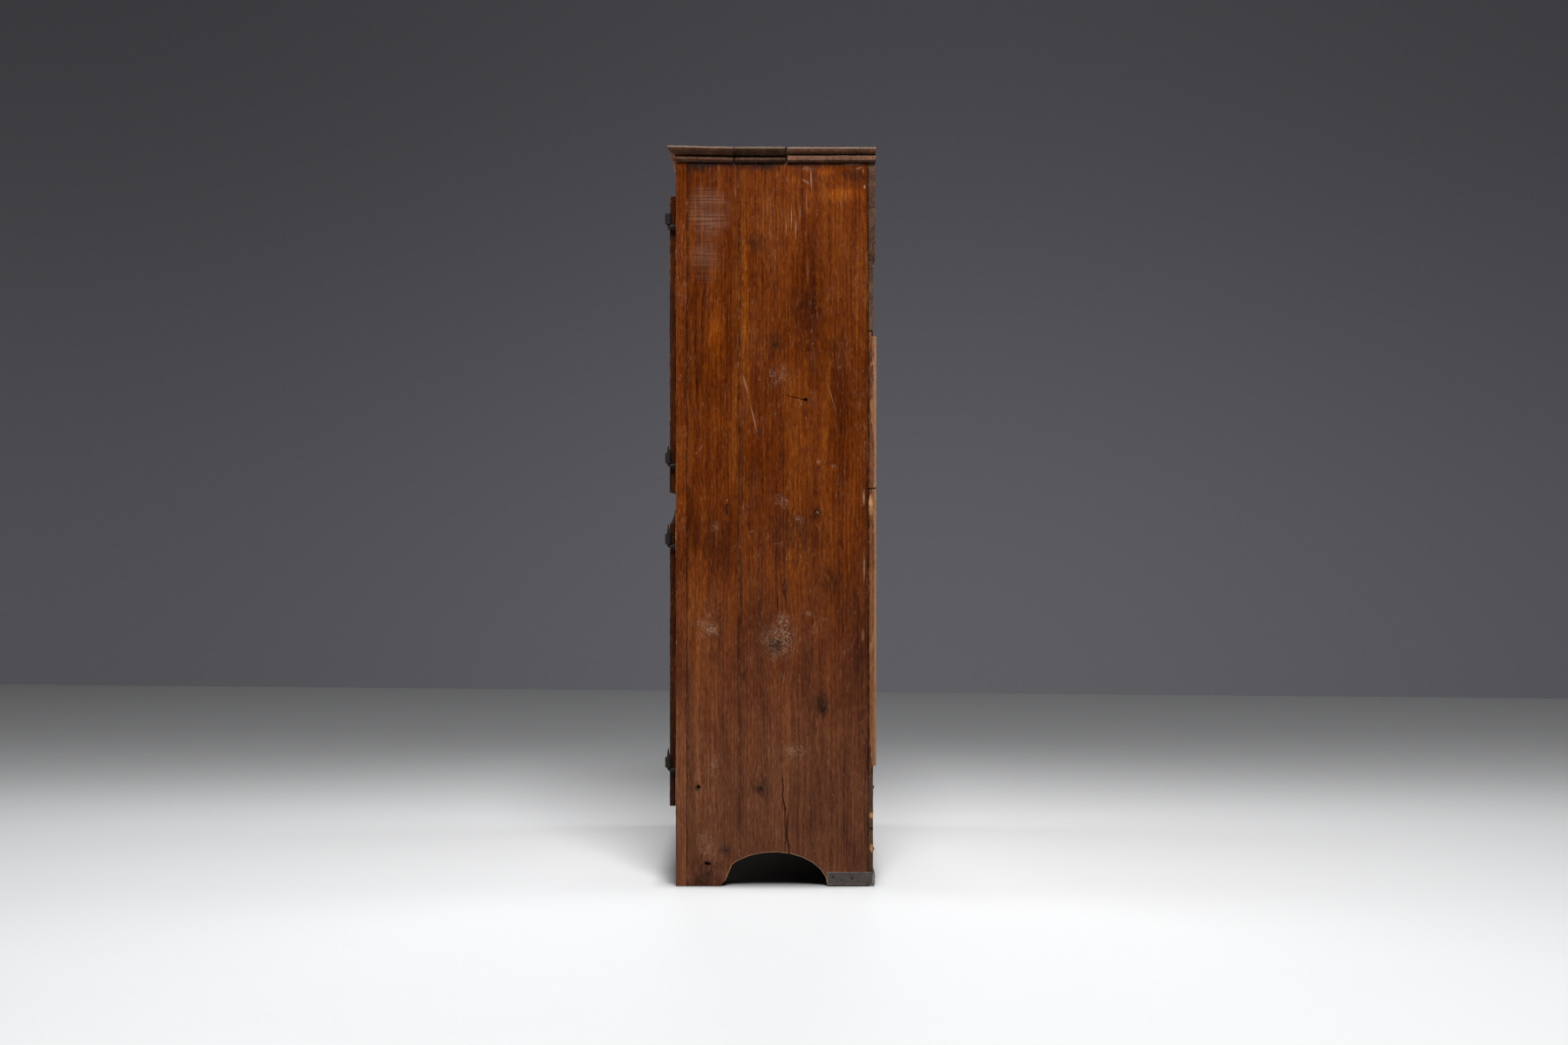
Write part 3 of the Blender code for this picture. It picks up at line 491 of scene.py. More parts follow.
def crack_blades(points, width, depth, face):
    """Thin blades along a crack's line, in a face that looks along X."""
    blades = []
    for (y, z), (next_y, next_z) in zip(points, points[1:]):
        length = math.hypot(next_y - y, next_z - z)
        lean = math.atan2(y - next_y, next_z - z)
        bpy.ops.mesh.primitive_cube_add(
            size=1,
            location=(face, (y + next_y) / 2, (z + next_z) / 2),
            rotation=(lean, 0, 0),
            scale=(2 * depth, width, length + width / 2),
        )
        blades.append(bpy.context.object)
    return blades


def drills(rows, face):
    """Tapered drills at places in a face that looks along X."""
    made = []
    for y, z, radius, depth in rows:
        bpy.ops.mesh.primitive_cone_add(
            vertices=9,
            radius1=radius * 0.4,
            radius2=radius * 1.3,
            depth=2 * depth,
            location=(face, y, z),
            rotation=(0.2, math.pi / 2, 0),
        )
        made.append(bpy.context.object)
    return made


def turned(name, profile, sides, place, direction):
    """A round piece drawn up from one circle, level by level, as on a lathe, then set in place."""
    bpy.ops.object.select_all(action="DESELECT")
    last, radius = profile[0]
    bpy.ops.mesh.primitive_circle_add(
        vertices=sides, radius=radius, fill_type="NGON", location=(0, 0, last)
    )
    piece = bpy.context.object
    piece.name = name
    bpy.ops.object.transform_apply()
    with editing(piece, "FACE"):
        for along, wide in profile[1:]:
            bpy.ops.mesh.extrude_region_move(TRANSFORM_OT_translate={"value": (0, 0, along - last)})
            share = wide / radius
            bpy.ops.transform.resize(value=(share, share, 1), center_override=(0, 0, along))
            last, radius = along, wide
        bpy.ops.mesh.select_all(action="SELECT")
        bpy.ops.mesh.normals_make_consistent(inside=False)
    set_in_place(piece, place, direction)
    return piece


def set_in_place(piece, place, direction):
    """Turns a piece's own Z to a direction, moves it, and keeps both in its mesh."""
    choose(piece)
    piece.rotation_mode = "QUATERNION"
    piece.rotation_quaternion = Vector(direction).to_track_quat("Z", "Y")
    piece.location = place
    bpy.ops.object.transform_apply(location=True, rotation=True, scale=True)
    piece.rotation_mode = "XYZ"


def joined(name, pieces):
    choose(pieces[0])
    for piece in pieces:
        piece.select_set(True)
    bpy.ops.object.join()
    whole = bpy.context.object
    whole.name = name
    return whole


def give(piece, body, slot, material, *nodes):
    """Hands a finished piece to its body, with its finish and the nodes that it stands for."""
    choose(piece)
    bpy.ops.object.shade_smooth_by_angle(angle=SMOOTH_ANGLE)
    for group in list(piece.vertex_groups):
        piece.vertex_groups.remove(group)
    piece.data.materials.clear()
    piece.data.materials.append(material)
    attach(piece, body)
    if nodes:
        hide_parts(*nodes)


def give_node(piece, node, material):
    give(piece, BODY_OF[node], SLOT_OF[node], material, node)


def dress_board(
    node, along, look, seed, rows, wear=(1.0, 1.0), arris=1.0, sharp=SHARP_ANGLE, before=(), after=(), **extra
):
    """Wears one board and gives it its finish.

    Steps before its arrises are eased shape the sound board, and steps after its surface is cut into rows
    damage it. Rows and arris are shares of the woodwork's sizes, and wear those of its waves and dents.
    """
    wood = bpy.context.scene.cupboard_wood
    piece = merged_copy(node)
    for step in before:
        step(piece, node)
    ease(piece, wood.arris * arris, sharp=sharp)
    for axis, share in rows.items():
        cut_rows(piece, axis, wood.row * share)
    for step in after:
        step(piece, node)
    weather(piece, *wear)
    name = f"{node}_{'bare' if look['bare'] else 'wax'}"
    give_node(piece, node, BoardFinish(name, node, along, look, seed, **extra).material)


# Materials


class Wiring:
    """A node tree whose nodes are added one at a time, each wired as it is added."""

    def __init__(self, tree):
        self.tree = tree

    def add(self, kind, sockets, **settings):
        node = self.tree.nodes.new(kind)
        for setting, value in settings.items():
            setattr(node, setting, value)
        for socket, value in sockets.items():
            self.put(node.inputs[socket], value)
        return node

    def put(self, socket, value):
        if isinstance(value, bpy.types.NodeSocket):
            self.tree.links.new(value, socket)
        else:
            socket.default_value = value

    def math(self, operation, first, second=0.0, clamp=False):
        node = self.add("ShaderNodeMath", {0: first, 1: second}, operation=operation, use_clamp=clamp)
        return node.outputs[0]

    def plus(self, first, second):
        return self.math("ADD", first, second)

    def minus(self, first, second):
        return self.math("SUBTRACT", first, second)

    def times(self, first, second):
        return self.math("MULTIPLY", first, second)

    def swing(self, pattern, strength):
        """How far a pattern is from its middle, one half, times a strength."""
        return self.times(self.minus(pattern, 0.5), strength)

    def vector(self, operation, first, second=(0, 0, 0)):
        node = self.add("ShaderNodeVectorMath", {0: first, 1: second}, operation=operation)
        return node.outputs["Value" if operation == "LENGTH" else "Vector"]

    def apart(self, vector):
        """The three parts of a vector."""
        return self.add("ShaderNodeSeparateXYZ", {0: vector}).outputs

    def noise(self, vector, stretch, detail=3.0, roughness=0.55, output="Fac"):
        scaled = self.vector("MULTIPLY", vector, stretch)
        sockets = {"Vector": scaled, "Scale": 1.0, "Detail": detail, "Roughness": roughness}
        return self.add("ShaderNodeTexNoise", sockets).outputs[output]

    def span(self, value, low, high, to_low=0.0, to_high=1.0):
        """The value's part of a range, clamped and eased, mapped to another range."""
        sockets = {"Value": value, "From Min": low, "From Max": high, "To Min": to_low, "To Max": to_high}
        return self.add("ShaderNodeMapRange", sockets, interpolation_type="SMOOTHSTEP").outputs["Result"]

    def mix(self, factor, first, second, blend="MIX"):
        pair = [(*tone, 1.0) if isinstance(tone, tuple) else tone for tone in (first, second)]
        sockets = {0: factor, 6: pair[0], 7: pair[1]}
        return self.add("ShaderNodeMix", sockets, data_type="RGBA", blend_type=blend).outputs[2]

    def ramp(self, value, stops):
        node = self.add("ShaderNodeValToRGB", {"Fac": value})
        elements = node.color_ramp.elements
        while len(elements) < len(stops):
            elements.new(0.5)
        for element, (place, colour) in zip(elements, stops):
            element.position = place
            element.color = (*colour, 1.0)
        return node.outputs["Color"]

    def looked_at(self):
        """1 for the eye, also in a mirror or through glass, and 0 for rays that only light other things."""
        path = self.add("ShaderNodeLightPath", {})
        seen = path.outputs["Is Camera Ray"]
        for ray in ("Is Glossy Ray", "Is Transmission Ray"):
            seen = self.math("MAXIMUM", seen, path.outputs[ray])
        return seen


class Finish(Wiring):
    """A material in the making."""

    def __init__(self, name):
        self.material = bpy.data.materials.new(name)
        self.material.use_nodes = True
        super().__init__(self.material.node_tree)
        self.shader = self.tree.nodes["Principled BSDF"]
        self.place = self.add("ShaderNodeTexCoord", {}).outputs["Object"]

    def surface(self, colour, roughness, specular, **others):
        sockets = {"Base Color": colour, "Roughness": roughness, "Specular IOR Level": specular, **others}
        for name, value in sockets.items():
            self.put(self.shader.inputs[name], value)

    def bump(self, height, strength):
        sockets = {"Height": height, "Strength": strength, "Distance": 0.0012}
        self.put(self.shader.inputs["Normal"], self.add("ShaderNodeBump", sockets).outputs["Normal"])

    def noted(self, kind):
        """How much a face is of a kind that the mesh work noted."""
        return self.add("ShaderNodeAttribute", {}, attribute_name=kind).outputs["Fac"]

    def from_middle(self, place, size, lean=0.0):
        """Places measured from a middle, in sizes along each axis, leaning about X."""
        sockets = {"Vector": self.place, "Location": place, "Rotation": (lean, 0, 0), "Scale": size}
        return self.add("ShaderNodeMapping", sockets, vector_type="TEXTURE").outputs["Vector"]

    def spots(self, rows, ragged, face=RIGHT_FACE, depth=1.0):
        """How much a place lies in one of the ragged ovals on a face, each weaker the more it is sunk."""
        fullest = None
        for y, z, half_y, half_z, lean, strength in rows:
            sunk = 0.5 + math.sin(math.asin(2 * strength - 1) / 3)
            sunk = SPOT_EDGE + (SPOT_HEART - SPOT_EDGE) * sunk
            size = (depth * SPOT_REACH, half_y * SPOT_REACH, half_z * SPOT_REACH)
            mapped = self.from_middle((face - sunk * depth, y, z), size, math.radians(lean))
            ball = self.add("ShaderNodeTexGradient", {"Vector": mapped}, gradient_type="SPHERICAL")
            ball = ball.outputs["Fac"]
            fullest = ball if fullest is None else self.math("MAXIMUM", fullest, ball)
        raised = self.minus(fullest, self.times(ragged, 1 / SPOT_REACH))
        return self.span(raised, 1 - SPOT_EDGE / SPOT_REACH, 1 - SPOT_HEART / SPOT_REACH)


def toned(tones, share):
    return [tuple(channel * share for channel in tone) for tone in tones]


def shaded(tone, share):
    return tuple(channel * share for channel in tone)


class BoardFinish(Finish):
    """Waxed or bare wood for one board, its grain along an axis and its rings round its own heart."""

    # Layers of the grain: how fine across, through and along the board, then detail and roughness
    layer_rows = {
        "streaks": ((135, 135, 7), 5.0, 0.62),
        "flames": ((200, 200, 44), 6.0, 0.78),
        "fibres": ((560, 560, 30), 3.0, 0.65),
        "bands": ((32, 32, 1.5), 3.0, 0.55),
    }

    def __init__(self, name, node, along, look, seed=0, marks=False, rims=(), chips=()):
        super().__init__(name)
        self.look, self.seed = look, seed
        low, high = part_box(node)
        middle, size = (low + high) / 2, high - low
        thin = min((axis for axis in AXES if axis != along), key=lambda axis: size[AXES[axis]])
        wide = next(axis for axis in AXES if axis not in (along, thin))
        width = size[AXES[wide]]
        self.parts = self.apart(self.place)
        local = {axis: self.minus(self.parts[index], middle[index]) for axis, index in AXES.items()}
        shifted = self.plus(local[along], 0.37 * seed + 0.1)
        sockets = {0: local[wide], 1: local[thin], 2: shifted}
        self.local = self.add("ShaderNodeCombineXYZ", sockets).outputs[0]
        self.own = self.vector("ADD", self.local, (0.61 * seed, 1.3 * seed, 0))
        self.patina = self.noise(self.own, (7, 7, 3.0), 5.0, 0.62)
        self.haze = self.noise(self.own, (24, 24, 9), 6.0, 0.72)
        self.flecks = self.noise(self.own, (230, 230, 60), 4.0, 0.7)
        kept = own_marks(node) if marks else {}

        layers, grain, pores = self.lay_grain(width, kept.get("knots", ()))
        colour = self.tone(grain, layers["bands"])
        pore_mask = self.span(pores, 0.60, 0.72, 0.0, look["pores"])
        colour = self.mix(pore_mask, colour, shaded(look["tones"][0], 0.5))
        if look["sawn"]:
            colour = self.saw(colour)
        dust = self.span(self.haze, 0.50, 0.70, 0.0, look["dust"])
        colour = self.mix(dust, colour, DUST_TONE)
        flecked = self.span(self.flecks, 0.56, 0.70, 0.0, look["flecks"])
        flecked = self.times(flecked, self.span(self.haze, 0.38, 0.62, 0.25, 1.0))
        colour = self.mix(flecked, colour, WORN_TONE)
        # Bands from the caller: painted shade and shadow on the top, and painted shade and a painted
        # highlight on the back's first board
        for row in rims:
            colour = self.band(colour, *row)
        if chips:
            broken = self.spots(chips, self.swing(self.flecks, 1.4), high.x, 0.020)
            colour = self.mix(broken, colour, CHIP_TONE)
        if not rims:
            colour = self.wear_edges(colour, local[wide], width / 2)
        if kept:
            colour = self.add_marks(colour, kept)
        # Pale tone on noted faces: worn wood that is also a painted highlight, on the arch's edge and the
        # top's upper arris
        rubbed_and_lit = self.times(self.noted("rubbed_and_lit"), self.span(self.flecks, 0.34, 0.56, 0.45, 0.92))
        colour = self.mix(rubbed_and_lit, colour, look["rubbed_and_lit"])

        shine = self.span(self.patina, 0.3, 0.7, *look["rough"])
        shine = self.plus(shine, self.times(dust, 0.5))
        shine = self.math("ADD", shine, self.times(pore_mask, 0.2), clamp=True)
        self.surface(colour, shine, look["gloss"])
        relief = self.plus(self.times(layers["streaks"], 0.5), self.times(layers["fibres"], 0.35))
        self.bump(self.minus(relief, self.times(pore_mask, 0.6)), look["bump"])

    def lay_grain(self, width, knots):
        """The finer layers of the grain, the whole grain with the year rings, and the pores."""
        look = self.look
        sway = self.noise(self.own, (9, 9, 2.0), 2.0, 0.5, "Color")
        sway = self.vector("SUBTRACT", sway, (0.5, 0.5, 0.5))
        sway = self.vector("MULTIPLY", sway, (look["sway"], look["sway"], 0))
        flow = self.vector("ADD", self.local, sway)
        if knots:
            flow = self.vector("SUBTRACT", flow, self.knot_bend(knots))
        heart = self.vector("ADD", flow, (width * look["heart"], -look["ring_depth"], 0))
        sockets = {
            "Vector": self.vector("MULTIPLY", heart, (1, 1, look["taper"])),
            "Scale": 0.314 / (bpy.context.scene.cupboard_wood.ring_spacing * look["ring_scale"]),
            "Distortion": 5.0,
            "Detail": 3.0,
            "Detail Scale": 1.2,
            "Detail Roughness": 0.6,
            "Phase Offset": 1.7 * self.seed,
        }
        wave = {"wave_type": "RINGS", "rings_direction": "Z", "wave_profile": "SAW"}
        rings = self.add("ShaderNodeTexWave", sockets, **wave).outputs["Fac"]
        seeded = self.vector("ADD", flow, (0.3 * self.seed, 0, 0))
        layers = {name: self.noise(seeded, *row) for name, row in self.layer_rows.items()}
        grain = self.swing(rings, look["rings"])
        for name, layer in layers.items():
            grain = self.plus(grain, self.swing(layer, look[name]))
        return layers, self.plus(grain, 0.5), self.noise(seeded, (820, 820, 62), 2.0, 0.5)

    def tone(self, grain, bands):
        """The grain's tones, which change with the height, under the clouds of old wax."""
        upper, lower = (
            self.ramp(grain, list(zip(TONE_PLACES, toned(self.look[kind], self.look["share"]))))
            for kind in ("tones", "low_tones")
        )
        height = self.plus(self.parts[2], self.times(bands, 0.5))
        colour = self.mix(self.span(height, *TONES_PASS), upper, lower)
        cloudy = self.mix(1.0, colour, self.ramp(self.patina, PATINA), "MULTIPLY")
        return self.mix(self.look["patina"], colour, cloudy)

    def saw(self, colour):
        """Knots with dark rings and the faint lines of a pit saw across a bare board."""
        sockets = {"Vector": self.vector("MULTIPLY", self.local, (5.5, 0, 2.1)), "Scale": 1.0}
        cells = self.add("ShaderNodeTexVoronoi", sockets).outputs["Distance"]
        ring = self.times(self.span(cells, 0.115, 0.075), self.span(cells, 0.030, 0.062, 0.45, 1.0))
        colour = self.mix(self.times(ring, 0.80), colour, shaded(DARK_TONE, 1.4))
        lines = self.span(self.noise(self.local, (11, 2, 200), 3.0, 0.55), 0.50, 0.62)
        lines = self.times(lines, self.span(self.patina, 0.44, 0.60, 0.15, 1.0))
        return self.mix(self.times(lines, self.look["sawn"]), colour, WORN_TONE)

    def knot_bend(self, knots):
        """How far the grain is pushed aside round each knot of the right end, along the board's width."""
        total = 0.0
        for y, z, radius in knots:
            mapped = self.from_middle((RIGHT_FACE, y, z), (1.0, radius, radius * 2.4))
            pull = self.span(self.vector("LENGTH", mapped), 1.6, 0.0, 0.0, 0.85 * radius)
            total = self.plus(total, self.times(self.apart(mapped)[1], pull))
        return self.add("ShaderNodeCombineXYZ", {0: total}).outputs[0]

    def band(self, colour, axis, low, high, strength, tone, beyond):
        """A wandering band of another tone between two levels of an axis, where X is past a place."""
        soft = 0.0006
        level = self.plus(self.parts[AXES[axis]], self.swing(self.haze, 0.004))
        inside = self.times(
            self.span(level, low - soft, low + soft), self.span(level, high + soft, high - soft)
        )
        inside = self.times(inside, self.span(self.parts[0], beyond - 0.001, beyond + 0.001))
        inside = self.times(inside, self.span(self.flecks, 0.36, 0.58, 0.35, 1.0))
        return self.mix(self.times(inside, strength), colour, tone)

    def wear_edges(self, colour, across, half):
        """Dirt on the arrises and along both long edges of a board, and pale places worn into it."""
        look = self.look
        arris = self.noted("worn")
        colour = self.mix(self.times(arris, look["seam"]), colour, DARK_TONE)
        breaks = self.plus(self.haze, self.flecks)
        breaks = self.span(breaks, 0.94, 1.16, look["edge"] * 0.1, look["edge"])
        colour = self.mix(self.times(arris, breaks), colour, WORN_TONE)
        shade = self.span(self.math("ABSOLUTE", across), half - 0.016, half, 0.0, look["edge_dirt"])
        return self.mix(self.times(shade, self.span(self.haze, 0.62, 0.40)), colour, DARK_TONE)

    def add_marks(self, colour, kept):
        """The right end's own marks: bright and dark places, scuffs, pale scrapes and the saw's hatch."""
        ragged, fine = self.swing(self.haze, 1.6), self.swing(self.flecks, 1.2)
        both = self.plus(ragged, fine)
        bright = self.spots(kept["bright"], ragged)
        colour = self.mix(bright, colour, self.mix(1.0, colour, BRIGHTER, "MULTIPLY"))
        # Dark marks: stains, and the painted shadow under the top
        dark = self.spots(kept["dark"], both)
        colour = self.mix(dark, colour, STAIN_AND_SHADOW_TONE)

        curls = self.minus(self.noise(self.place, (88, 88, 88), 3.0, 0.6), 0.5)
        curls = self.span(self.math("ABSOLUTE", curls), 0.036, 0.010)
        curls = self.times(curls, self.span(dark, 0.9, 0.3, 0.45, 1.0))
        scuffs = self.spots(kept["scuffs"], both)
        veil = self.times(scuffs, self.span(dark, 0.8, 0.1, 0.08, 0.24))
        colour = self.mix(veil, colour, DUST_TONE)
        scratched = self.math("MAXIMUM", curls, self.span(self.flecks, 0.56, 0.70, 0.0, 0.45))
        colour = self.mix(self.times(self.times(scuffs, scratched), 0.60), colour, SCUFF_TONE)

        scrapes = self.span(self.flecks, 0.40, 0.56, 0.28, 1.0)
        colour = self.mix(self.times(self.spots(kept["pale"], fine), scrapes), colour, SCRAPE_TONE)
        if not kept["hatches"]:
            return colour
        area = self.spots(kept["hatches"], self.times(ragged, 0.5))
        lines = self.span(self.noise(self.place, (1, 7, 300), 2.0, 0.5), 0.45, 0.57)
        colour = self.mix(self.times(area, 0.24), colour, DUST_TONE)
        return self.mix(self.times(self.times(lines, area), 0.27), colour, HATCH_TONE)


def own_marks(node):
    """The marks of the right end that lie on one of its boards."""
    low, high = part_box(node)
    kinds = {
        "knots": KNOTS, "pale": PALE_MARKS, "scuffs": SCUFFED_PATCHES, "dark": DARK_MARKS,
        "bright": BRIGHT_PATCHES, "hatches": HATCHES,
    }
    return {kind: [row for row in rows if low.y < row[0] < high.y] for kind, rows in kinds.items()}


WAXED_LOOK = {
    "tones": WAX_UPPER, "low_tones": WAX_LOWER_WITH_FLOOR_REFLECTION, "share": 1.0, "bare": False, "sawn": 0.0,
    "sway": 0.020, "heart": 0.15, "ring_depth": 0.07, "taper": 0.10, "ring_scale": 1.0, "rings": 0.18,
    "streaks": 0.50, "flames": 1.15, "fibres": 0.30, "bands": 0.62, "pores": 0.45, "patina": 0.95,
    "dust": 0.09, "flecks": 0.26, "edge": 0.55, "seam": 0.95, "edge_dirt": 0.40, "rubbed_and_lit": WORN_TONE,
    "rough": (0.28, 0.46), "gloss": 0.11, "bump": 0.45,
}
# On the ends the pale tone of the arch's eased edge is worn wood and also a painted highlight
REAR_END_LOOK = {**WAXED_LOOK, "heart": -0.10, "rubbed_and_lit": (0.60, 0.33, 0.18)}
FRONT_END_LOOK = {**REAR_END_LOOK, "heart": 0.5, "dust": 0.035, "flecks": 0.20}
POST_LOOK = {
    **WAXED_LOOK, "tones": toned(WAX_UPPER, 1.15), "low_tones": toned(WAX_LOWER_WITH_FLOOR_REFLECTION, 1.25), "rings": 0.10,
    "edge": 0.75, "seam": 0.6, "dust": 0.08, "flecks": 0.50, "edge_dirt": 0.15,
}
DOOR_LOOK = {
    **WAXED_LOOK, "tones": WAX_DOORS, "low_tones": toned(WAX_DOORS, 0.42), "dust": 0.04, "flecks": 0.18,
    "edge": 0.45,
}
TOP_LOOK = {
    **WAXED_LOOK, "tones": TOP_TONES, "low_tones": TOP_TONES, "dust": 0.20, "flecks": 0.40, "patina": 1.0,
    "rough": (0.5, 0.7), "edge": 0.6, "seam": 0.3, "rubbed_and_lit": (0.27, 0.185, 0.145),
}
BACK_LOOK = {
    **WAXED_LOOK, "tones": BACK_TONES, "low_tones": BACK_TONES, "bare": True, "sawn": 0.15, "sway": 0.03,
    "heart": 0.3, "ring_depth": 0.05, "taper": 0.12, "ring_scale": 0.8, "rings": 0.45, "patina": 1.0,
    "dust": 0.16, "flecks": 0.25, "edge": 0.4, "seam": 0.9, "rough": (0.66, 0.85), "gloss": 0.15,
    "bump": 0.7,
}
UPRIGHT_LOOK = {
    **BACK_LOOK, "tones": UPRIGHT_TONES, "low_tones": toned(UPRIGHT_TONES, 0.78), "rough": (0.5, 0.7),
    "edge": 0.85, "seam": 0.2, "dust": 0.07, "patina": 0.8,
}
INSIDE_LOOK = {**BACK_LOOK, "tones": INSIDE_TONES, "low_tones": INSIDE_TONES, "edge": 0.35}
TURNED_LOOK = {
    **WAXED_LOOK, "tones": TURNED_TONES, "low_tones": TURNED_TONES, "dust": 0.05, "flecks": 0.15,
    "edge": 0.0, "seam": 0.0, "edge_dirt": 0.0, "rough": (0.26, 0.40), "gloss": 0.3, "bump": 0.2,
}


def iron_finish(name, share=1.0, rusty=0.7, rubbed_and_lit=0.0):
    """Forged iron, blackened, with old rust in the hollows and a pale worn colour on its arrises that is also
    a painted shine.
    """
    iron = bpy.context.scene.cupboard_iron
    base, worn, rust = toned((iron.colour, WORN_IRON, iron.rust), share)
    finish = Finish(name)
    broad = finish.noise(finish.place, (45, 45, 45), 4.0, 0.6)
    fine = finish.noise(finish.place, (420, 420, 420), 4.0, 0.65)
    colour = finish.mix(finish.span(fine, 0.35, 0.7, 0.0, 0.8), base, worn)
    rusted = finish.span(broad, 0.50, 0.66, 0.0, rusty)
    colour = finish.mix(rusted, colour, rust)
    # Pale worn iron on the arrises, also a painted shine
    if rubbed_and_lit:
        bright = finish.times(finish.noted("worn"), finish.span(broad, 0.36, 0.56, 0.2, rubbed_and_lit))
        colour = finish.mix(bright, colour, BRIGHT_IRON)
    metallic = finish.span(rusted, 0.0, 0.7, 0.25, 0.0)
    finish.surface(colour, finish.span(fine, 0.3, 0.7, 0.46, 0.72), 0.22, Metallic=metallic)
    finish.bump(finish.plus(broad, finish.times(fine, 0.35)), 0.5)
    return finish.material


# Operators


class CUPBOARD_OT_dress_ends(bpy.types.Operator):
    """Wears the four boards of the two ends, and cuts the right end's cracks and holes."""

    bl_idname = "cupboard.dress_ends"
    bl_label = "Dress the ends"

    seam = 0.0005
    # The arch's edge: how far in from the faces, between which Y and under which height, and how round
    arch_edge = (0.001, -0.110, 0.162, 0.140)
    # The arch's eased edge is painted pale, as worn wood and as a highlight
    arch_arris = 0.0026
    crack_depth = 0.007

    def execute(self, context):
        boards = (("side_front_board", FRONT_END_LOOK), ("side_rear_board", REAR_END_LOOK))
        rows = [(word, board, look) for word in ("right", "left") for board, look in boards]
        for seed, (word, board, look) in enumerate(rows):
            shown = word == "right"
            dress_board(
                f"{board}_{word}", "z", look, seed, {"y": 1.6, "z": 1}, (1.2, 0.6), marks=shown,
                before=(self.close_seam, self.ease_arch),
                after=(self.cut_damage, self.raise_lumps) if shown else (),
            )
        return {"FINISHED"}

    def close_seam(self, piece, node):
        close_seams(piece, node, "y", self.seam, (HIGH if "front" in node else LOW,))

    def ease_arch(self, piece, node):
        skin, front, rear, top = self.arch_edge
        ease(
            piece, self.arch_arris, kind="rubbed_and_lit",
            chosen=lambda co: abs(co.x) > RIGHT_FACE - skin and front < co.y < rear and co.z < top,
        )

    def cut_damage(self, piece, node):
        low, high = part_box(node)
        cutters = []
        for points, width in CRACKS:
            if low.y < points[0][0] < high.y:
                cutters += crack_blades(points, width, self.crack_depth, RIGHT_FACE)
        cutters += drills([row for row in HOLES if low.y < row[0] < high.y], RIGHT_FACE)
        cut_away(piece, cutters)

    def raise_lumps(self, piece, node):
        low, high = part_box(node)
        for i, (y, z, radius, strength) in enumerate(LUMPS):
            if low.y < y < high.y:
                self.raise_lump(piece, f"lump_{i}", Vector((RIGHT_FACE, y, z)), radius, strength)

    def raise_lump(self, piece, name, middle, radius, strength):
        """Divides the surface finely round a knot and makes it lumpy there."""

        def near(face):
            places = [vert.co for vert in face.verts] + [face.calc_center_median()]
            return face.normal.x > 0.9 and any((place - middle).length < radius for place in places)

        with editing(piece, "FACE", "DESELECT") as mesh:
            pick(piece, mesh.faces, near)
            bpy.ops.mesh.subdivide(number_cuts=5)
        group = piece.vertex_groups.new(name=name)
        for vert in piece.data.vertices:
            share = 1 - (vert.co - middle).length / radius
            if share > 0:
                group.add([vert.index], min(1.0, 1.6 * share), "REPLACE")
        shift_surface(piece, clouds("lumps", 0.011, 3), strength, BOTH_WAYS, name)


class CUPBOARD_OT_dress_front_frame(bpy.types.Operator):
    """Wears the posts and rails of the front."""

    bl_idname = "cupboard.dress_front_frame"
    bl_label = "Dress the front frame"

    def execute(self, context):
        posts = ("corner_post_right", "corner_post_left")
        for seed, node in enumerate((*posts, "frieze_rail", "middle_rail", "foot_rail"), 7):
            along = "z" if node in posts else "x"
            dress_board(node, along, POST_LOOK, seed, {along: 1})
        return {"FINISHED"}


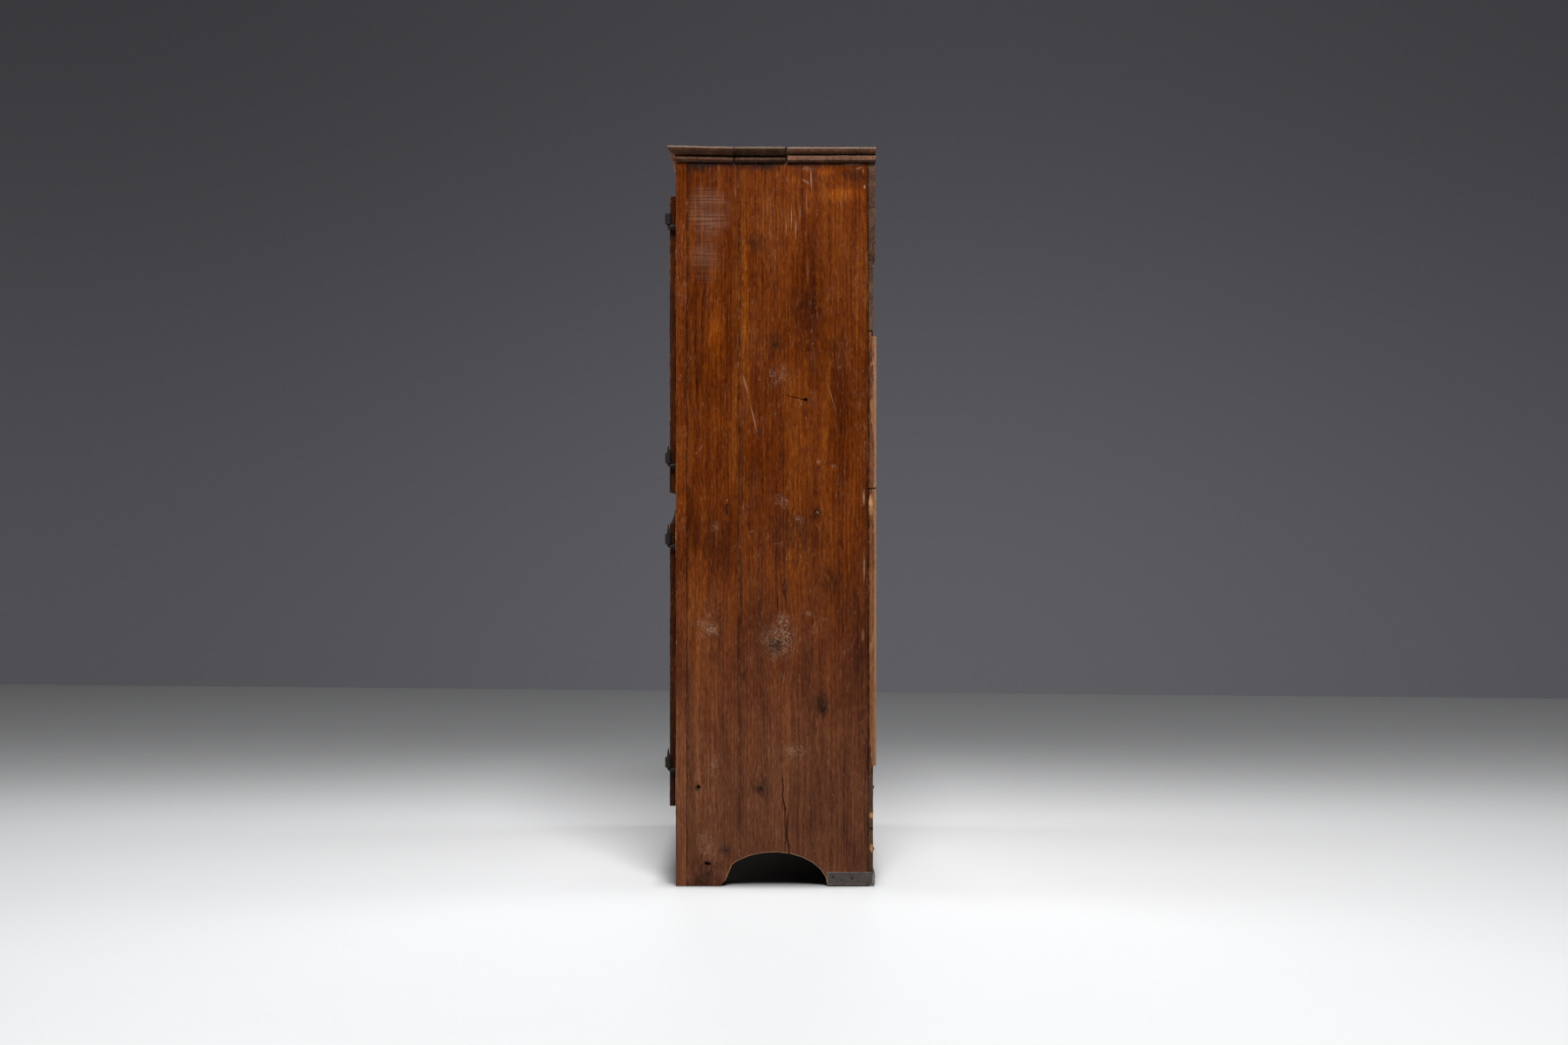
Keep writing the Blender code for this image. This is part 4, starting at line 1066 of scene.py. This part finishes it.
class CUPBOARD_OT_dress_top(bpy.types.Operator):
    """Wears the moulded top's three boards."""

    bl_idname = "cupboard.dress_top"
    bl_label = "Dress the top"

    # How much of the top's tones each board has
    shares = {"top_front_board": 0.80, "top_middle_board": 0.42, "top_rear_board": 0.88}
    # The moulding's levels: height in the frame, and how far each goes up and out, for the front two boards
    # and for the rear board
    levels = (
        (1.7669, 0.0021, 0.0040, 0.0021, 0.0045),
        (1.7711, 0.0044, 0.0050, 0.0094, 0.0065),
        (1.7730, 0.0035, -0.0060, 0.0085, -0.0030),
        (1.7757, 0.0043, -0.0060, 0.0068, -0.0030),
        (1.7772, 0.0040, 0.0010, 0.0068, 0.0020),
        (1.7791, 0.0031, 0.0010, 0.0062, 0.0020),
        (1.7833, 0.0010, 0.0000, 0.0040, 0.0010),
    )
    # Where the ends' profile, their nose and the open joints between the boards begin, in X
    profile_start, nose_start, joint_start = 0.503, 0.525, 0.508
    # How far the joint behind each board opens
    joints = {"top_middle_board": 0.0048, "top_front_board": 0.0010}
    # Painted shade in the groove of the front two boards and in the rear board's, and a painted shadow under
    # the moulding
    groove, rear_groove, under = (1.7760, 1.7806), (1.7812, 1.7850), (1.7500, 1.7655)
    # How far the top sinks behind its front edge, from which Y, and over which distance
    sunk, curl_start, curl_length = 0.0035, -0.262, 0.20

    def execute(self, context):
        for seed, (node, share) in enumerate(self.shares.items(), 13):
            look = dict(TOP_LOOK, share=share, rubbed_and_lit=shaded(TOP_LOOK["rubbed_and_lit"], 0.4 + 0.7 * share))
            foot, head = self.rear_groove if node == "top_rear_board" else self.groove
            # Bands of painted shade in the groove and of painted shadow under the moulding
            rims = (
                ("z", foot - self.sunk, head - self.sunk, 0.85, DARK_TONE, -1.0),
                ("z", self.under[LOW], self.under[HIGH] - self.sunk, 0.80, DARK_TONE, -1.0),
            )
            dress_board(
                node, "x", look, seed, {"x": 1, "y": 1}, (0.7, 0.8), sharp=math.radians(60), rims=rims,
                before=(self.note_rim, self.deepen_moulding, self.open_joint), after=(self.settle,),
            )
        return {"FINISHED"}

    def note_rim(self, piece, node):
        """Notes the faces of the upper arris, where the wax has worn off and which are also painted pale as a
        highlight.
        """
        with editing(piece) as mesh:
            rubbed_and_lit = mesh.faces.layers.float.new("rubbed_and_lit")
            for face in mesh.faces:
                if face.calc_center_median().z > 1.7955 and face.normal.z < 0.9:
                    face[rubbed_and_lit] = 1.0

    def deepen_moulding(self, piece, node):
        """Cuts the groove of the ends deeper, draws the bead out and slopes the upper arris."""
        for level, rise, out, rear_rise, rear_out in reversed(self.levels):
            if node == "top_rear_board":
                rise, out = rear_rise, rear_out
            for side in (1, -1):
                move_points(
                    piece,
                    lambda co: side * co.x > self.profile_start and abs(co.z - level) < NEAR,
                    (side * out, 0, rise),
                )
            if node == "top_front_board":
                front = FRONT_PLANE + 0.004
                move_points(
                    piece,
                    lambda co: abs(co.z - level) < NEAR and co.y < front and abs(co.x) < self.nose_start,
                    (0, -out * 0.4, rise),
                )
        for side in (1, -1):
            arris = (-side * 0.0022, 0, 0)
            move_points(piece, lambda co: side * co.x > self.nose_start and co.z > 1.7995, arris)

    def open_joint(self, piece, node):
        """Opens the joints between the boards at their ends, where the arrises have broken away."""
        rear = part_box(node)[HIGH].y
        with editing(piece):
            for side in (1, -1):
                bpy.ops.mesh.select_all(action="SELECT")
                bpy.ops.mesh.bisect(plane_co=(side * self.joint_start, 0, 0), plane_no=(1, 0, 0))
        if node in self.joints:
            start = self.joint_start + NEAR
            gap = (0, -self.joints[node], 0)
            move_points(piece, lambda co: abs(co.x) > start and co.y > rear - 0.001, gap)
        if node == "top_rear_board":
            for side in (1, -1):
                move_points(piece, lambda co: side * co.x > 0.520, (-side * 0.003, 0, 0))

    def settle(self, piece, node):
        """Lets the top sink a little behind its front edge, which has curled up."""
        with editing(piece, "VERT", "DESELECT") as mesh:
            for vert in mesh.verts:
                if vert.co.z > 1.7635 or abs(vert.co.x) > 0.512:
                    back = min(1.0, max(0.0, (vert.co.y - self.curl_start) / self.curl_length))
                    vert.co.z -= self.sunk * back * back * (3 - 2 * back)
            bmesh.update_edit_mesh(piece.data)


class CUPBOARD_OT_dress_back(bpy.types.Operator):
    """Wears the planks and upright boards of the back."""

    bl_idname = "cupboard.dress_back"
    bl_label = "Dress the back"

    # How far a board runs into its neighbours, and at which of its ends it has one
    plank_seam, board_seam = 0.0007, 0.0005
    neighbours = {"back_plank_foot": (HIGH,), "back_board_1": (LOW,), "back_board_3": (HIGH,)}
    # The splinters broken out of the foot plank: height, depth, radius and lean
    splinters = ((0.178, 0.009, 0.010, 0.5), (0.166, 0.006, 0.008, -0.4), (0.093, 0.010, 0.013, 0.3))
    plank_crack = ((0.240, 0.1425), (0.249, 0.1405), (0.257, 0.143), (0.270, 0.1415))
    plank_chips = ((0.2540, 0.173, 0.010, 0.010, 0, 1.0), (0.2550, 0.093, 0.010, 0.012, 0, 1.0))
    # The flakes off the first board's edge: height of the middle and half the length
    flakes = ((0.944, 0.020), (0.915, 0.018))
    board_crack = ((0.238, 0.968), (0.247, 0.9675), (0.262, 0.969))
    board_chips = ((0.2500, 0.932, 0.007, 0.026, 0, 1.0),)

    def execute(self, context):
        rows, wear, before = {"x": 1, "z": 1.5}, (1.3, 1.4), (self.plane_face, self.close_plank)
        for seed, node in enumerate(("back_plank_top", "back_plank_second", "back_plank_third"), 17):
            dress_board(node, "x", BACK_LOOK, seed, rows, wear, before=before)
        dress_board(
            "back_plank_foot", "x", BACK_LOOK, 20, rows, wear, before=before, after=(self.splinter_end,),
            chips=self.plank_chips,
        )
        rows, wear, before = {"x": 2, "z": 1}, (1.3, 1.2), (self.plane_face, self.close_board)
        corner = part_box("back_board_1")[HIGH]
        rear = corner.y - BACK_PLANED
        # A band of painted shade on the board's end, in the gap beside the side board, and a painted
        # highlight on its rounded edge
        rims = (
            ("y", 0.0, rear - 0.0158, 0.90, DARK_TONE, corner.x - 0.004),
            ("y", rear - 0.0065, rear - 0.0004, 0.90, RIM_HIGHLIGHT_TONE, corner.x - 0.006),
        )
        dress_board(
            "back_board_1", "z", UPRIGHT_LOOK, 23, rows, wear, before=(*before, self.round_edge),
            after=(self.break_edge,), chips=self.board_chips, rims=rims,
        )
        for seed, node in enumerate(("back_board_2", "back_board_3"), 24):
            dress_board(node, "z", UPRIGHT_LOOK, seed, rows, wear, before=before)
        return {"FINISHED"}

    def plane_face(self, piece, node):
        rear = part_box(node)[HIGH].y
        move_points(piece, lambda co: co.y > rear - NEAR, (0, -BACK_PLANED, 0))

    def close_plank(self, piece, node):
        close_seams(piece, node, "z", self.plank_seam, self.neighbours.get(node, (LOW, HIGH)))

    def close_board(self, piece, node):
        close_seams(piece, node, "x", self.board_seam, self.neighbours.get(node, (LOW, HIGH)))

    def round_edge(self, piece, node):
        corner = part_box(node)[HIGH]
        right, rear = corner.x - 0.001, corner.y - BACK_PLANED - 0.001
        ease(piece, 0.006, 4, chosen=lambda co: co.x > right and co.y > rear)

    def splinter_end(self, piece, node):
        """Breaks three notches and a crack out of the foot plank's right end."""
        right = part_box(node)[HIGH].x
        cutters = []
        for z, depth, tall, lean in self.splinters:
            bpy.ops.mesh.primitive_cone_add(
                vertices=5, radius1=tall, radius2=0.001, depth=0.030,
                location=(right + 0.010 - depth, 0.262, z), rotation=(lean, -math.pi / 2, 0.3),
            )
            cutters.append(bpy.context.object)
        cut_away(piece, cutters + crack_blades(self.plank_crack, 0.0026, 0.03, right))

    def break_edge(self, piece, node):
        """Flakes the first board's edge and cracks it across."""
        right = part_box(node)[HIGH].x
        cutters = crack_blades(self.board_crack, 0.0022, 0.012, right)
        for z, tall in self.flakes:
            bpy.ops.mesh.primitive_uv_sphere_add(
                segments=10, ring_count=6, radius=1, location=(right + 0.0035, 0.249, z),
                scale=(0.0055, 0.008, tall),
            )
            cutters.append(bpy.context.object)
        cut_away(piece, cutters)


class CUPBOARD_OT_dress_shelves(bpy.types.Operator):
    """Wears the floor and the shelves."""

    bl_idname = "cupboard.dress_shelves"
    bl_label = "Dress the shelves"

    def execute(self, context):
        for seed, node in enumerate(("case_floor", "lower_shelf", "dividing_shelf", "upper_shelf"), 29):
            dress_board(node, "x", INSIDE_LOOK, seed, {"x": 3, "y": 3}, (0.4, 0.3))
        return {"FINISHED"}


class CUPBOARD_OT_dress_doors(bpy.types.Operator):
    """Wears the doors' boards and battens."""

    bl_idname = "cupboard.dress_doors"
    bl_label = "Dress the doors"

    def execute(self, context):
        parts = ("hinge_board", "latch_board", "bottom_batten", "top_batten")
        nodes = [f"{door}_{part}" for door in DOORS for part in parts]
        for seed, node in enumerate(nodes, 35):
            if "board" in node:
                dress_board(node, "z", DOOR_LOOK, seed, {"x": 1.6, "z": 1}, (0.8, 0.8), 1.4)
            else:
                dress_board(node, "x", INSIDE_LOOK, seed, {"x": 1}, (0.3, 0.5))
        return {"FINISHED"}


class CUPBOARD_OT_forge_ironwork(bpy.types.Operator):
    """Gives the straps, pintles and foot plate hammered faces and softened edges."""

    bl_idname = "cupboard.forge_ironwork"
    bl_label = "Forge the ironwork"

    row = 0.006
    border, field_depth = 0.0032, 0.0010

    def execute(self, context):
        material = iron_finish("forged_iron", 0.55, 0.80, 0.12)
        for door in DOORS:
            for place in ("bottom", "top"):
                node = f"{door}_{place}_strap"
                piece = merged_copy(node)
                ease(piece, 0.0006, sharp=SQUARE_ANGLE)
                cut_rows(piece, "x", self.row)
                hammer(piece)
                give_node(piece, node, material)
                node = f"{door}_{place}_pintle"
                piece = merged_copy(node)
                hammer(piece, 0.6)
                give_node(piece, node, material)
        piece = merged_copy("foot_plate")
        self.sink_fields(piece)
        ease(piece, 0.0009, sharp=SQUARE_ANGLE)
        for axis in AXES:
            cut_rows(piece, axis, self.row)
        hammer(piece)
        give_node(piece, "foot_plate", iron_finish("plate_iron", 2.6, 0.20, 0.9))
        return {"FINISHED"}

    def sink_fields(self, piece):
        """Sinks the middle of the plate's two outer faces, which leaves a worn border."""
        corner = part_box("foot_plate")[HIGH]
        for axis in (0, 1):

            def outer(face):
                middle = face.calc_center_median()
                return face.normal[axis] > 0.99 and abs(middle[axis] - corner[axis]) < NEAR

            with editing(piece, "FACE", "DESELECT") as mesh:
                pick(piece, mesh.faces, outer)
                bpy.ops.mesh.inset(thickness=self.border, depth=-self.field_depth)


class CUPBOARD_OT_drive_nails(bpy.types.Operator):
    """Drives forged nails through the straps, the back and the foot plate."""

    bl_idname = "cupboard.drive_nails"
    bl_label = "Drive the nails"

    # Places along a strap, in shares of its length from the eye
    strap_shares = (0.16, 0.52, 0.885)
    # Places on a back plank: X and the edge it is near to, and for each plank how near
    plank_places = ((-0.497, LOW), (-0.494, HIGH), (0.0, LOW), (0.4965, LOW), (0.495, HIGH))
    plank_edges = {"back_plank_top": 0.03, "back_plank_second": 0.03, "back_plank_third": 0.035}
    # Places on the foot plank in X and Z, and how far its face is from its inner one
    foot_places = ((-0.496, 0.05), (-0.494, 0.22), (0.496, 0.09), (0.494, 0.24), (0.1, 0.19), (-0.2, 0.19))
    foot_thickness = 0.0142
    # Places on an upright board: share of its width, and height
    board_places = ((0.2, 1.325), (0.8, 1.318), (0.22, 0.963), (0.76, 0.960), (0.2, 0.312), (0.8, 0.308))
    # How deep the heads sit in the back
    sunk = 0.0008
    # Places on the foot plate: Y and Z on its side, X on its rear face
    plate_side = ((0.159, 0.026), (0.204, 0.024), (0.243, 0.009))
    plate_rear = (0.465, 0.496)

    def execute(self, context):
        self.iron = context.scene.cupboard_iron
        self.material = iron_finish("nail_iron", 1.7, 0.5)
        self.nail = self.forge_nail()
        for door in DOORS:
            places = self.strap_places(f"{door}_bottom_strap") + self.strap_places(f"{door}_top_strap")
            self.drive(f"{door}_strap_nails", f"{door}_door", [(place, (0, -1, 0)) for place in places])
        self.drive("back_nails", "case", [(place, (0, 1, 0)) for place in self.back_places()], 0.75)
        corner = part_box("foot_plate")[HIGH]
        places = [((corner.x, y, z), (1, 0, 0)) for y, z in self.plate_side]
        places += [((x, corner.y, 0.02), (0, 1, 0)) for x in self.plate_rear]
        self.drive("plate_nails", "case", places, 0.62)
        bpy.data.objects.remove(self.nail)
        return {"FINISHED"}

    def strap_places(self, strap):
        low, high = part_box(strap)
        eye, tip = (high.x, low.x) if "right" in strap else (low.x, high.x)
        return [(eye + (tip - eye) * share, STRAP_FACE, (low.z + high.z) / 2) for share in self.strap_shares]

    def back_places(self):
        places = []
        for node, edge in self.plank_edges.items():
            low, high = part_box(node)
            for x, end in self.plank_places:
                places.append((x, high.y - BACK_PLANED, low.z + edge if end == LOW else high.z - edge))
        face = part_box("back_plank_foot")[LOW].y + self.foot_thickness
        places += [(x, face, z) for x, z in self.foot_places]
        for node in ("back_board_1", "back_board_2", "back_board_3"):
            low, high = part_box(node)
            for share, z in self.board_places:
                places.append((low.x + (high.x - low.x) * share, high.y - BACK_PLANED, z))
        return [(x, y - self.sunk, z) for x, y, z in places]

    def forge_nail(self):
        """One nail head, five flat blows round a blunt point."""
        radius, height = self.iron.nail_radius, self.iron.nail_height
        shank, brim = (-0.002, radius * 0.5), (0, radius)
        blows, point = (height * 0.35, radius * 0.93), (height, radius * 0.25)
        return turned("nail", (shank, brim, blows, point), 9, (0, 0, 0), (0, 0, 1))

    def drive(self, name, body, places, share=1.0):
        heads = []
        for i, (place, direction) in enumerate(places):
            head = bpy.data.objects.new(f"{name}_{i}", self.nail.data.copy())
            bpy.context.scene.collection.objects.link(head)
            size = share * (1 + 0.12 * math.sin(2.3 * i))
            head.scale = (size, size, share)
            choose(head)
            bpy.ops.object.transform_apply(location=False, rotation=False, scale=True)
            set_in_place(head, place, direction)
            heads.append(head)
        give(joined(name, heads), body, "wrought_iron", self.material)


class CUPBOARD_OT_set_pegs(bpy.types.Operator):
    """Sets the whittled pegs of the front frame's joints."""

    bl_idname = "cupboard.set_pegs"
    bl_label = "Set the pegs"

    heights = (1.704, 1.738, 0.902, 0.946, 0.118, 0.168)
    profile = ((-0.006, 0.0046), (0.0003, 0.0045), (0.0009, 0.0036))

    def execute(self, context):
        pegs = []
        for side in (1, -1):
            for i, z in enumerate(self.heights):
                x = side * (0.4545 + 0.001 * math.sin(5 * i + side))
                pegs.append(turned(f"peg_{side}_{i}", self.profile, 8, (x, FRONT_PLANE, z), (0, -1, 0)))
        finish = BoardFinish("peg_wood", "corner_post_right", "z", dict(POST_LOOK, share=0.8), 3)
        give(joined("frame_pegs", pegs), "case", "waxed_walnut", finish.material)
        return {"FINISHED"}


class CUPBOARD_OT_turn_latches(bpy.types.Operator):
    """Finishes the turned knobs of the latches, and eases their tongues."""

    bl_idname = "cupboard.turn_latches"
    bl_label = "Turn the latches"

    def execute(self, context):
        for seed, door in enumerate(("upper_right", "lower_right"), 71):
            for part in ("knob", "tongue"):
                node = f"{door}_{part}"
                piece = merged_copy(node)
                if part == "tongue":
                    ease(piece, context.scene.cupboard_wood.arris)
                give_node(piece, node, BoardFinish(f"{node}_finish", node, "z", TURNED_LOOK, seed).material)
        return {"FINISHED"}


class CUPBOARD_OT_lay_stage(bpy.types.Operator):
    """Lays the pale floor, hangs the lamps and sets the camera at the photograph's place."""

    bl_idname = "cupboard.lay_stage"
    bl_label = "Lay the stage"

    # The floor's corners, from those of a square
    corners = {(-1, -1): (-6.235, -9), (1, -1): (12, -9), (-1, 1): (-4.286, 9), (1, 1): (12, 9)}
    # Tones of the painted shade far off and of the painted shadow under the case
    far_shade_tone = (0.085, 0.085, 0.088)
    under_shadow_tone = (0.02, 0.014, 0.011)

    def execute(self, context):
        self.stage = context.scene.cupboard_stage
        self.lay_floor()
        self.light()
        self.paint_surroundings()
        self.set_camera()
        context.scene.view_settings.view_transform = "Standard"
        return {"FINISHED"}

    def lay_floor(self):
        bpy.ops.object.select_all(action="DESELECT")
        bpy.ops.mesh.primitive_plane_add(size=2, location=(0, 0, 0))
        floor = bpy.context.object
        floor.name = "studio_floor"
        for vert in floor.data.vertices:
            vert.co = (*self.corners[(round(vert.co.x), round(vert.co.y))], 0)
        floor.data.materials.append(self.paint_floor())

    def paint_floor(self):
        """Pale paint, faintly scuffed, with painted shade far off where the lamp's light falls away, and a
        painted shadow under the case.
        """
        finish = Finish("floor_paint")
        x, y = finish.apart(finish.place)[:2]
        scuffs = finish.span(finish.noise(finish.place, (3, 3, 3), 6.0, 0.7), 0.35, 0.7, 0.0, 0.05)
        colour = finish.mix(scuffs, tuple(self.stage.floor), (0.55, 0.55, 0.56))
        # Painted shade far off, where the lamp's light falls away
        colour = finish.mix(finish.span(x, 0.9, -3.4, 0.0, 0.54), colour, self.far_shade_tone)
        # Painted shadow under the case
        under = finish.times(
            finish.span(finish.math("ABSOLUTE", x), 0.56, 0.44),
            finish.span(finish.math("ABSOLUTE", y), 0.30, 0.19),
        )
        colour = finish.mix(finish.times(under, 0.96), colour, self.under_shadow_tone)
        halved = finish.mix(1.0, colour, (0.5, 0.5, 0.5), "MULTIPLY")
        finish.surface(finish.mix(finish.looked_at(), halved, colour), 0.6, 0.05)
        return finish.material

    def light(self):
        key, fill = self.stage.key, self.stage.fill
        rows = (
            ("overhead", (4.6, 0.5, 7.2), (0.5, 0.0, 0.3), 2.6, key, 180),
            ("front_fill", (-0.6, -4.4, 1.7), (0, 0, 1.3), 2.0, fill, 60),
            ("back_fill", (-0.6, 4.4, 1.7), (0, 0, 1.3), 2.0, fill, 60),
            ("far_fill", (-4.0, 0.0, 1.9), (0, 0, 1.3), 2.0, fill * 0.6, 60),
        )
        for name, place, target, size, power, spread in rows:
            bpy.ops.object.select_all(action="DESELECT")
            bpy.ops.object.light_add(type="AREA", location=place)
            lamp = bpy.context.object
            lamp.name = name
            lamp.data.size = size
            lamp.data.energy = power
            lamp.data.spread = math.radians(spread)
            lamp.visible_glossy = name == "overhead"
            lamp.rotation_mode = "QUATERNION"
            lamp.rotation_quaternion = (Vector(target) - Vector(place)).to_track_quat("-Z", "Y")

    def paint_surroundings(self):
        """A dusky wall round the stage for the eye, and a soft light that comes from above."""
        world = bpy.data.worlds.new("studio")
        bpy.context.scene.world = world
        world.use_nodes = True
        world.node_tree.nodes.clear()
        air = Wiring(world.node_tree)
        y, z = air.apart(air.add("ShaderNodeTexCoord", {}).outputs["Generated"])[1:]
        aside = air.math("ABSOLUTE", air.minus(y, 0.07))
        glow = air.times(air.span(z, -0.08, 0.28, 1.0, 0.50), air.span(aside, 0.0, 0.42, 1.0, 0.72))
        wall = air.add("ShaderNodeBackground", {"Color": (*self.stage.wall, 1.0), "Strength": glow})
        soft = air.times(air.span(z, 0.05, 0.9, 0.12, 1.0), self.stage.ambient)
        sky = air.add("ShaderNodeBackground", {"Strength": soft})
        sockets = {0: air.looked_at(), 1: sky.outputs[0], 2: wall.outputs[0]}
        choice = air.add("ShaderNodeMixShader", sockets).outputs[0]
        air.add("ShaderNodeOutputWorld", {"Surface": choice})

    def set_camera(self):
        stage = self.stage
        place = Vector((RIGHT_FACE + stage.distance, stage.aside, stage.height))
        bpy.ops.object.camera_add(location=place)
        camera = bpy.context.object
        camera.rotation_mode = "QUATERNION"
        camera.rotation_quaternion = Vector((-1, 0, 0)).to_track_quat("-Z", "Y")
        camera.data.sensor_width = 36.0
        camera.data.lens = stage.lens
        bpy.context.scene.camera = camera


class CUPBOARD_PT_panel(bpy.types.Panel):
    """The cupboard's settings and steps in the sidebar."""

    bl_label = "Cupboard"
    bl_idname = "CUPBOARD_PT_panel"
    bl_space_type = "VIEW_3D"
    bl_region_type = "UI"
    bl_category = "Cupboard"

    def draw(self, context):
        layout = self.layout
        for name, kind in SETTINGS.items():
            box = layout.box()
            for setting in kind.__annotations__:
                box.prop(getattr(context.scene, name), setting)
        for step in STEPS:
            layout.operator(step.bl_idname)


SETTINGS = {"cupboard_wood": CupboardWood, "cupboard_iron": CupboardIron, "cupboard_stage": CupboardStage}
STEPS = (
    CUPBOARD_OT_lay_stage,
    CUPBOARD_OT_dress_ends,
    CUPBOARD_OT_dress_front_frame,
    CUPBOARD_OT_dress_top,
    CUPBOARD_OT_dress_back,
    CUPBOARD_OT_dress_shelves,
    CUPBOARD_OT_dress_doors,
    CUPBOARD_OT_forge_ironwork,
    CUPBOARD_OT_drive_nails,
    CUPBOARD_OT_set_pegs,
    CUPBOARD_OT_turn_latches,
)


def register():
    for kind in (*SETTINGS.values(), *STEPS, CUPBOARD_PT_panel):
        bpy.utils.register_class(kind)
    for name, kind in SETTINGS.items():
        setattr(bpy.types.Scene, name, PointerProperty(type=kind))


def unregister():
    for name in SETTINGS:
        delattr(bpy.types.Scene, name)
    for kind in reversed((*SETTINGS.values(), *STEPS, CUPBOARD_PT_panel)):
        bpy.utils.unregister_class(kind)


def main():
    """Runs every step in order."""
    register()
    for step in STEPS:
        group, name = step.bl_idname.split(".")
        getattr(getattr(bpy.ops, group), name)()


if __name__ == "__main__":
    main()
